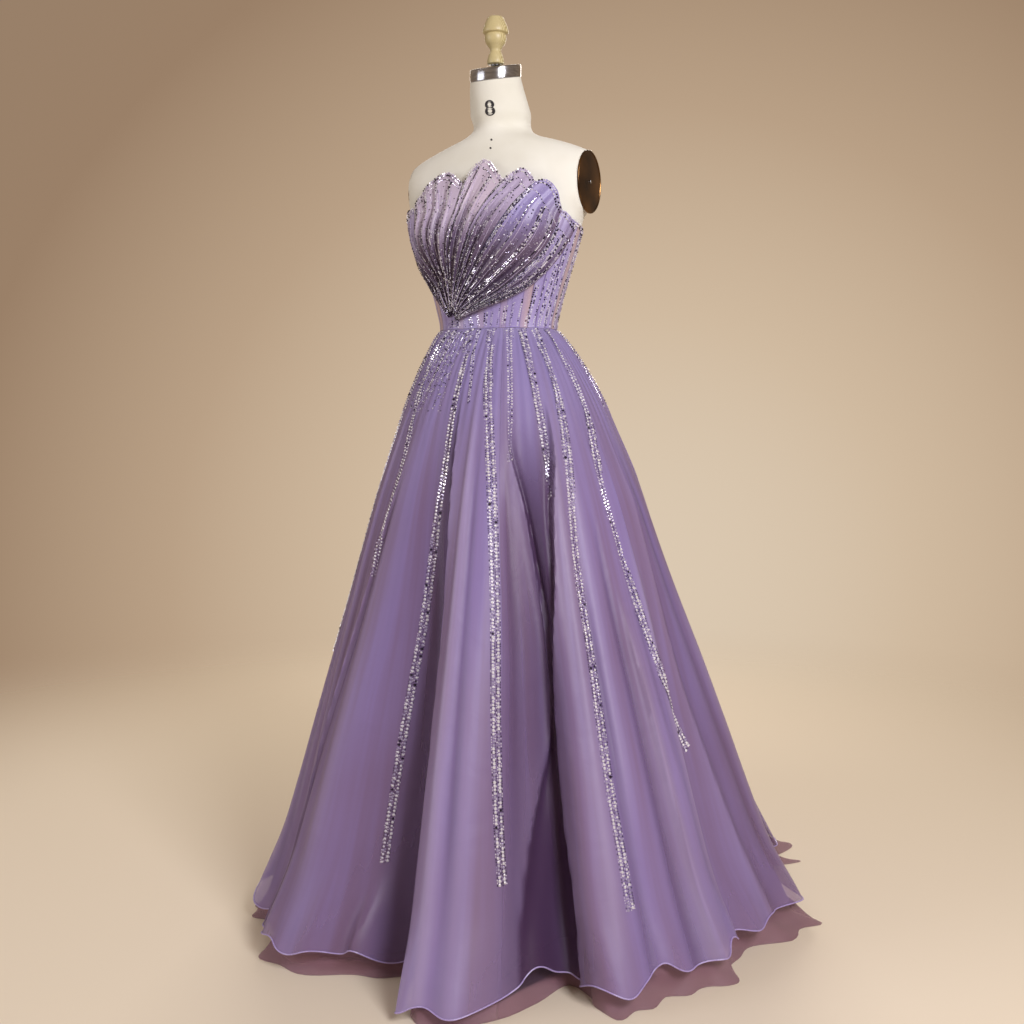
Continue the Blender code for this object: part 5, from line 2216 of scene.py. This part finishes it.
@dataclass
class Beading:
    """All the beadwork, over the fan, the bodice and the skirt."""

    bodice: Bodice
    fan: FanShape
    skirt: SkirtShape
    edge_margin: float = 0.01
    edge_along: float = 0.992
    inner_along: float = 0.955
    crest_from: float = 0.09
    crest_length: float = 0.86
    crest_sway: tuple = (0.03, 5.0)
    beside_from: float = 0.10
    beside_length: float = 0.80
    beside_sway: tuple = (0.30, 2.6, 0.3)
    seam_across: float = 0.03
    seam_length: float = 0.88
    vein_taper: float = 1.75
    dust_per_ridge: int = 130
    dust_crowding: float = 1.15
    dust_radius: float = 0.0013
    edge_clear: float = 0.003
    back_edge: tuple = (80.0, 192.0)
    waist_clear: float = 0.004
    patch_turns: tuple = (-42.0, 36.0)
    patch_drop: float = 0.17
    patch_beads: int = 700
    patch_crowding: float = 0.75
    patch_radius: float = 0.0011

    def on_fan(self, glass: Material, cord: Material) -> None:
        """Beads and piping along the petals' ridges, seams, leaves and scalloped edges.

        Args:
            glass: The beads' material.
            cord: The piping's material.
        """
        work = Beadwork("fan_beads")
        piping = PipedLines("fan_piping", 0.0006)
        for order, petal in enumerate(PETALS):
            surface = self.fan.surface(petal)

            def edge(part: Grid, along: float = self.edge_along) -> tuple[Grid, Grid]:
                """Along the scalloped edge."""
                return (self.edge_margin + (1.0 - 2.0 * self.edge_margin) * part,
                        np.full_like(part, along))

            def inner_edge(part: Grid) -> tuple[Grid, Grid]:
                """A second row inside the scalloped edge."""
                return edge(part, self.inner_along)

            work.line(surface, edge, BeadLook.EDGE, 10 * order)
            work.line(surface, inner_edge, BeadLook.FINE, 10 * order + 9)
            for ridge in range(petal.ridges):
                across = (ridge + 0.5) / petal.ridges

                def crest(part: Grid, across: float = across) -> tuple[Grid, Grid]:
                    """Up one ridge, leaning out a little towards the edge."""
                    sway, rate = self.crest_sway
                    return across + sway * np.sin(part * rate), self.crest_from + self.crest_length * part

                def beside_crest(part: Grid, across: float = across) -> tuple[Grid, Grid]:
                    """Up beside one ridge."""
                    sway, rate, lag = self.beside_sway
                    return (across + sway / petal.ridges * np.sin(part * rate + lag),
                            self.beside_from + self.beside_length * part)

                look = BeadLook.VEIN if ridge % 2 == order % 2 else BeadLook.THREAD
                work.line(surface, crest, look, 10 * order + ridge + 1, self.vein_taper)
                piping.line(surface, beside_crest)

            def seam(part: Grid) -> tuple[Grid, Grid]:
                """Up the petal's first seam."""
                return np.full_like(part, self.seam_across), self.beside_from + self.seam_length * part

            work.line(surface, seam, BeadLook.VEIN, 10 * order + 8, self.vein_taper)
            work.scatter(surface, self.dust_per_ridge * petal.ridges, self.dust_crowding, 500 + order,
                         self.dust_radius)
        own(work.build(glass), Slot.BEADS)
        own(piping.build(cord), Slot.BEADS)

    def on_bodice(self, glass: Material) -> None:
        """Beads up the bones of the bodice and along its upper edge.

        Args:
            glass: The beads' material.
        """
        work = Beadwork("bodice_beads")
        for order, row in enumerate(BODICE_LINES):

            def bone(part: Grid, row: BodiceLine = row) -> tuple[Grid, Grid]:
                """Up one bone."""
                rise = self.edge_clear + (row.head_rise - 2.0 * self.edge_clear) * part
                return row.foot_turn + (row.head_turn - row.foot_turn) * part, rise

            work.line(self.bodice.surface, bone, row.look, 200 + order)

        def upper_edge(part: Grid) -> tuple[Grid, Grid]:
            """Round the back's upper edge from the fan's end to its start.

            Args:
                part: Place along the line, 0 to 1.

            Returns:
                Turns and rises.
            """
            turn = self.back_edge[0] + self.back_edge[1] * part
            rise = curve_through(BODICE_TOP, wrap_turn(turn), around=360.0)[..., 0]
            return turn, rise - self.edge_clear

        work.line(self.bodice.surface, upper_edge, BeadLook.EDGE, 260)
        own(work.build(glass), Slot.BEADS)

    def sew(self, work: Beadwork, lines: tuple, seed: int) -> None:
        """Sew bead lines down the skirt, with loose dust beside the broad ones.

        Args:
            work: The beadwork that takes them.
            lines: The lines.
            seed: Seeds the first line.
        """
        for order, line in enumerate(lines):
            last = len(line.path) - 1
            keyed = tuple((index / last, *row) for index, row in enumerate(line.path))

            def route(part: Grid, keyed: tuple = keyed) -> tuple[Grid, Grid]:
                """Down one line."""
                columns = curve_through(keyed, part)
                return columns[..., 0], -columns[..., 1]

            work.line(self.skirt.draped, route, line.look, seed + 2 * order, line.taper)
            if line.look in (BeadLook.BAND, BeadLook.STRONG):
                work.line(self.skirt.draped, route, BeadLook.DUST, seed + 2 * order + 1, line.taper)

    def sequinned_patch(self, across: Grid, along: Grid) -> Grid:
        """The densely sprinkled cloth under the fan's gather, from waist to the first folds."""
        start, width = self.patch_turns
        return self.skirt.draped(start + width * across, -self.patch_drop * (1.0 - along))

    def on_skirt(self, glass: Material) -> None:
        """Bead lines down the skirt, from the photograph in front and like them behind.

        Args:
            glass: The beads' material.
        """
        front = Beadwork("skirt_beads_front")
        self.sew(front, FRONT_LINES, 300)
        front.scatter(self.sequinned_patch, self.patch_beads, self.patch_crowding, 390, self.patch_radius)
        own(front.build(glass), Slot.BEADS)
        back = Beadwork("skirt_beads_back")
        hidden = []
        for row in HIDDEN_LINES:
            path = ((row.turn, self.waist_clear), (row.turn + row.drift, row.drop))
            hidden.append(SkirtLine(row.look, 1.0, path))
        self.sew(back, tuple(hidden), 400)
        own(back.build(glass), Slot.BEADS)

    def build(self) -> None:
        """Sew all the beads."""
        glass = SilverLinedGlass("silver_lined_glass").make()
        self.on_fan(glass, SatinCord("lilac_satin_cord", "#D5C8E2", "#85769C").make())
        self.on_bodice(glass)
        self.on_skirt(glass)


class Softbox(NamedTuple):
    """A rectangular soft light: its name, place, size, power and colour."""

    name: str
    place: tuple
    size: tuple
    watts: float
    colour: str


SOFTBOXES = (
    Softbox("key_softbox", (2.5, -1.7, 2.4), (1.1, 1.1), 92.0, "#FAF8FF"),
    Softbox("fill_softbox", (-2.2, -2.4, 1.7), (1.8, 1.8), 27.0, "#F4F5FF"),
    Softbox("back_softbox", (-1.2, 2.6, 2.4), (1.4, 1.2), 54.0, "#FFF8F0"),
)

# Backdrop colours, from behind the camera to the glow behind the gown
BACKDROP = ((0.0, "#8E7C6C"), (0.62, "#94806C"), (0.86, "#9A8068"), (0.93, "#B9A086"),
            (0.975, "#D0BAA0"), (1.0, "#DCCAB3"))


@dataclass
class Studio:
    """Pale floor, warm soft light and the camera at the photograph's angle."""

    distance: float = 2.5
    height: float = 0.99
    azimuth: float = 28.0
    tilt_down: float = 4.9
    image_size: float = 1024.0
    focal_pixels: float = 1240.0
    axis_pixel: float = 496.0
    sensor: float = 36.0
    floor_radius: float = 4.0
    floor_rings: tuple = (0.8, 1.2, 1.0)
    gown_middle: float = 0.75
    glow_towards: tuple = (-0.36, 0.92, -0.14)

    def build_floor(self) -> None:
        """A round pale floor: a filled circle with rings inset into it."""
        select_nothing()
        bpy.ops.mesh.primitive_circle_add(vertices=128, radius=self.floor_radius, fill_type="NGON",
                                          location=(0.0, 0.0, 0.0))
        floor = settle(bpy.context.object)
        floor.name = "studio_floor"
        bpy.ops.object.mode_set(mode="EDIT")
        bpy.ops.mesh.select_all(action="SELECT")
        for thickness in self.floor_rings:
            bpy.ops.mesh.inset(thickness=thickness, depth=0.0)
        bpy.ops.object.mode_set(mode="OBJECT")
        floor.data.materials.append(StudioPaper("matt_studio_paper").make())

    def add_softbox(self, box: Softbox) -> None:
        """Hang a soft light that faces the gown's middle.

        Args:
            box: The light.
        """
        light = bpy.data.lights.new(box.name, "AREA")
        light.shape = "RECTANGLE"
        light.size, light.size_y = box.size
        light.energy = box.watts
        light.color = linear(box.colour)[:3]
        lamp = bpy.data.objects.new(box.name, light)
        lamp.location = box.place
        facing = Vector((0.0, 0.0, self.gown_middle)) - Vector(box.place)
        lamp.rotation_euler = facing.to_track_quat("-Z", "Y").to_euler()
        bpy.context.scene.collection.objects.link(lamp)

    def build_world(self) -> None:
        """A warm backdrop with a soft glow behind the gown, darker overhead and behind the camera."""
        world = bpy.data.worlds.new("warm_studio")
        world.use_nodes = True
        tree = world.node_tree
        way = add_node(tree, "TexCoord").outputs["Generated"]
        glow = add_node(tree, "VectorMath", {"operation": "DOT_PRODUCT", 1: self.glow_towards},
                        {0: way})
        colour = add_node(tree, "ValToRGB",
                          {"stops": BACKDROP},
                          {"Fac": glow.outputs["Value"]})
        back = tree.nodes["Background"]
        tree.links.new(colour.outputs["Color"], back.inputs["Color"])
        back.inputs["Strength"].default_value = 1.0
        bpy.context.scene.world = world

    def build_camera(self) -> None:
        """The camera, on the photograph's line of sight."""
        around = math.radians(self.azimuth)
        yaw = math.atan((self.image_size / 2.0 - self.axis_pixel) / self.focal_pixels)
        data = bpy.data.cameras.new("photo_view")
        data.sensor_width = self.sensor
        data.lens = self.sensor * self.focal_pixels / self.image_size
        camera = bpy.data.objects.new("photo_view", data)
        camera.location = (self.distance * math.sin(around), -self.distance * math.cos(around), self.height)
        camera.rotation_euler = (math.radians(90.0 - self.tilt_down), 0.0, around - yaw)
        bpy.context.scene.collection.objects.link(camera)
        bpy.context.scene.camera = camera

    def build(self) -> None:
        """Set the stage."""
        bpy.context.scene.view_settings.view_transform = "Standard"
        self.build_floor()
        self.build_world()
        for box in SOFTBOXES:
            self.add_softbox(box)
        self.build_camera()


def main() -> None:
    """Load the frame, build each piece in order and report it."""
    logging.basicConfig(level=logging.INFO, format="%(message)s")
    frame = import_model()
    torso = TorsoShape(waist=round(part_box("skirt_front")[1].z, 4))
    fan = FanShape(torso)
    skirt_shape = SkirtShape(torso)
    bodice = Bodice(torso)
    DressForm(torso).build(frame)
    bodice.build()
    PetalFan(fan).build()
    Skirt(skirt_shape).build()
    Beading(bodice, fan, skirt_shape).build()
    Studio().build()


if __name__ == "__main__":
    main()
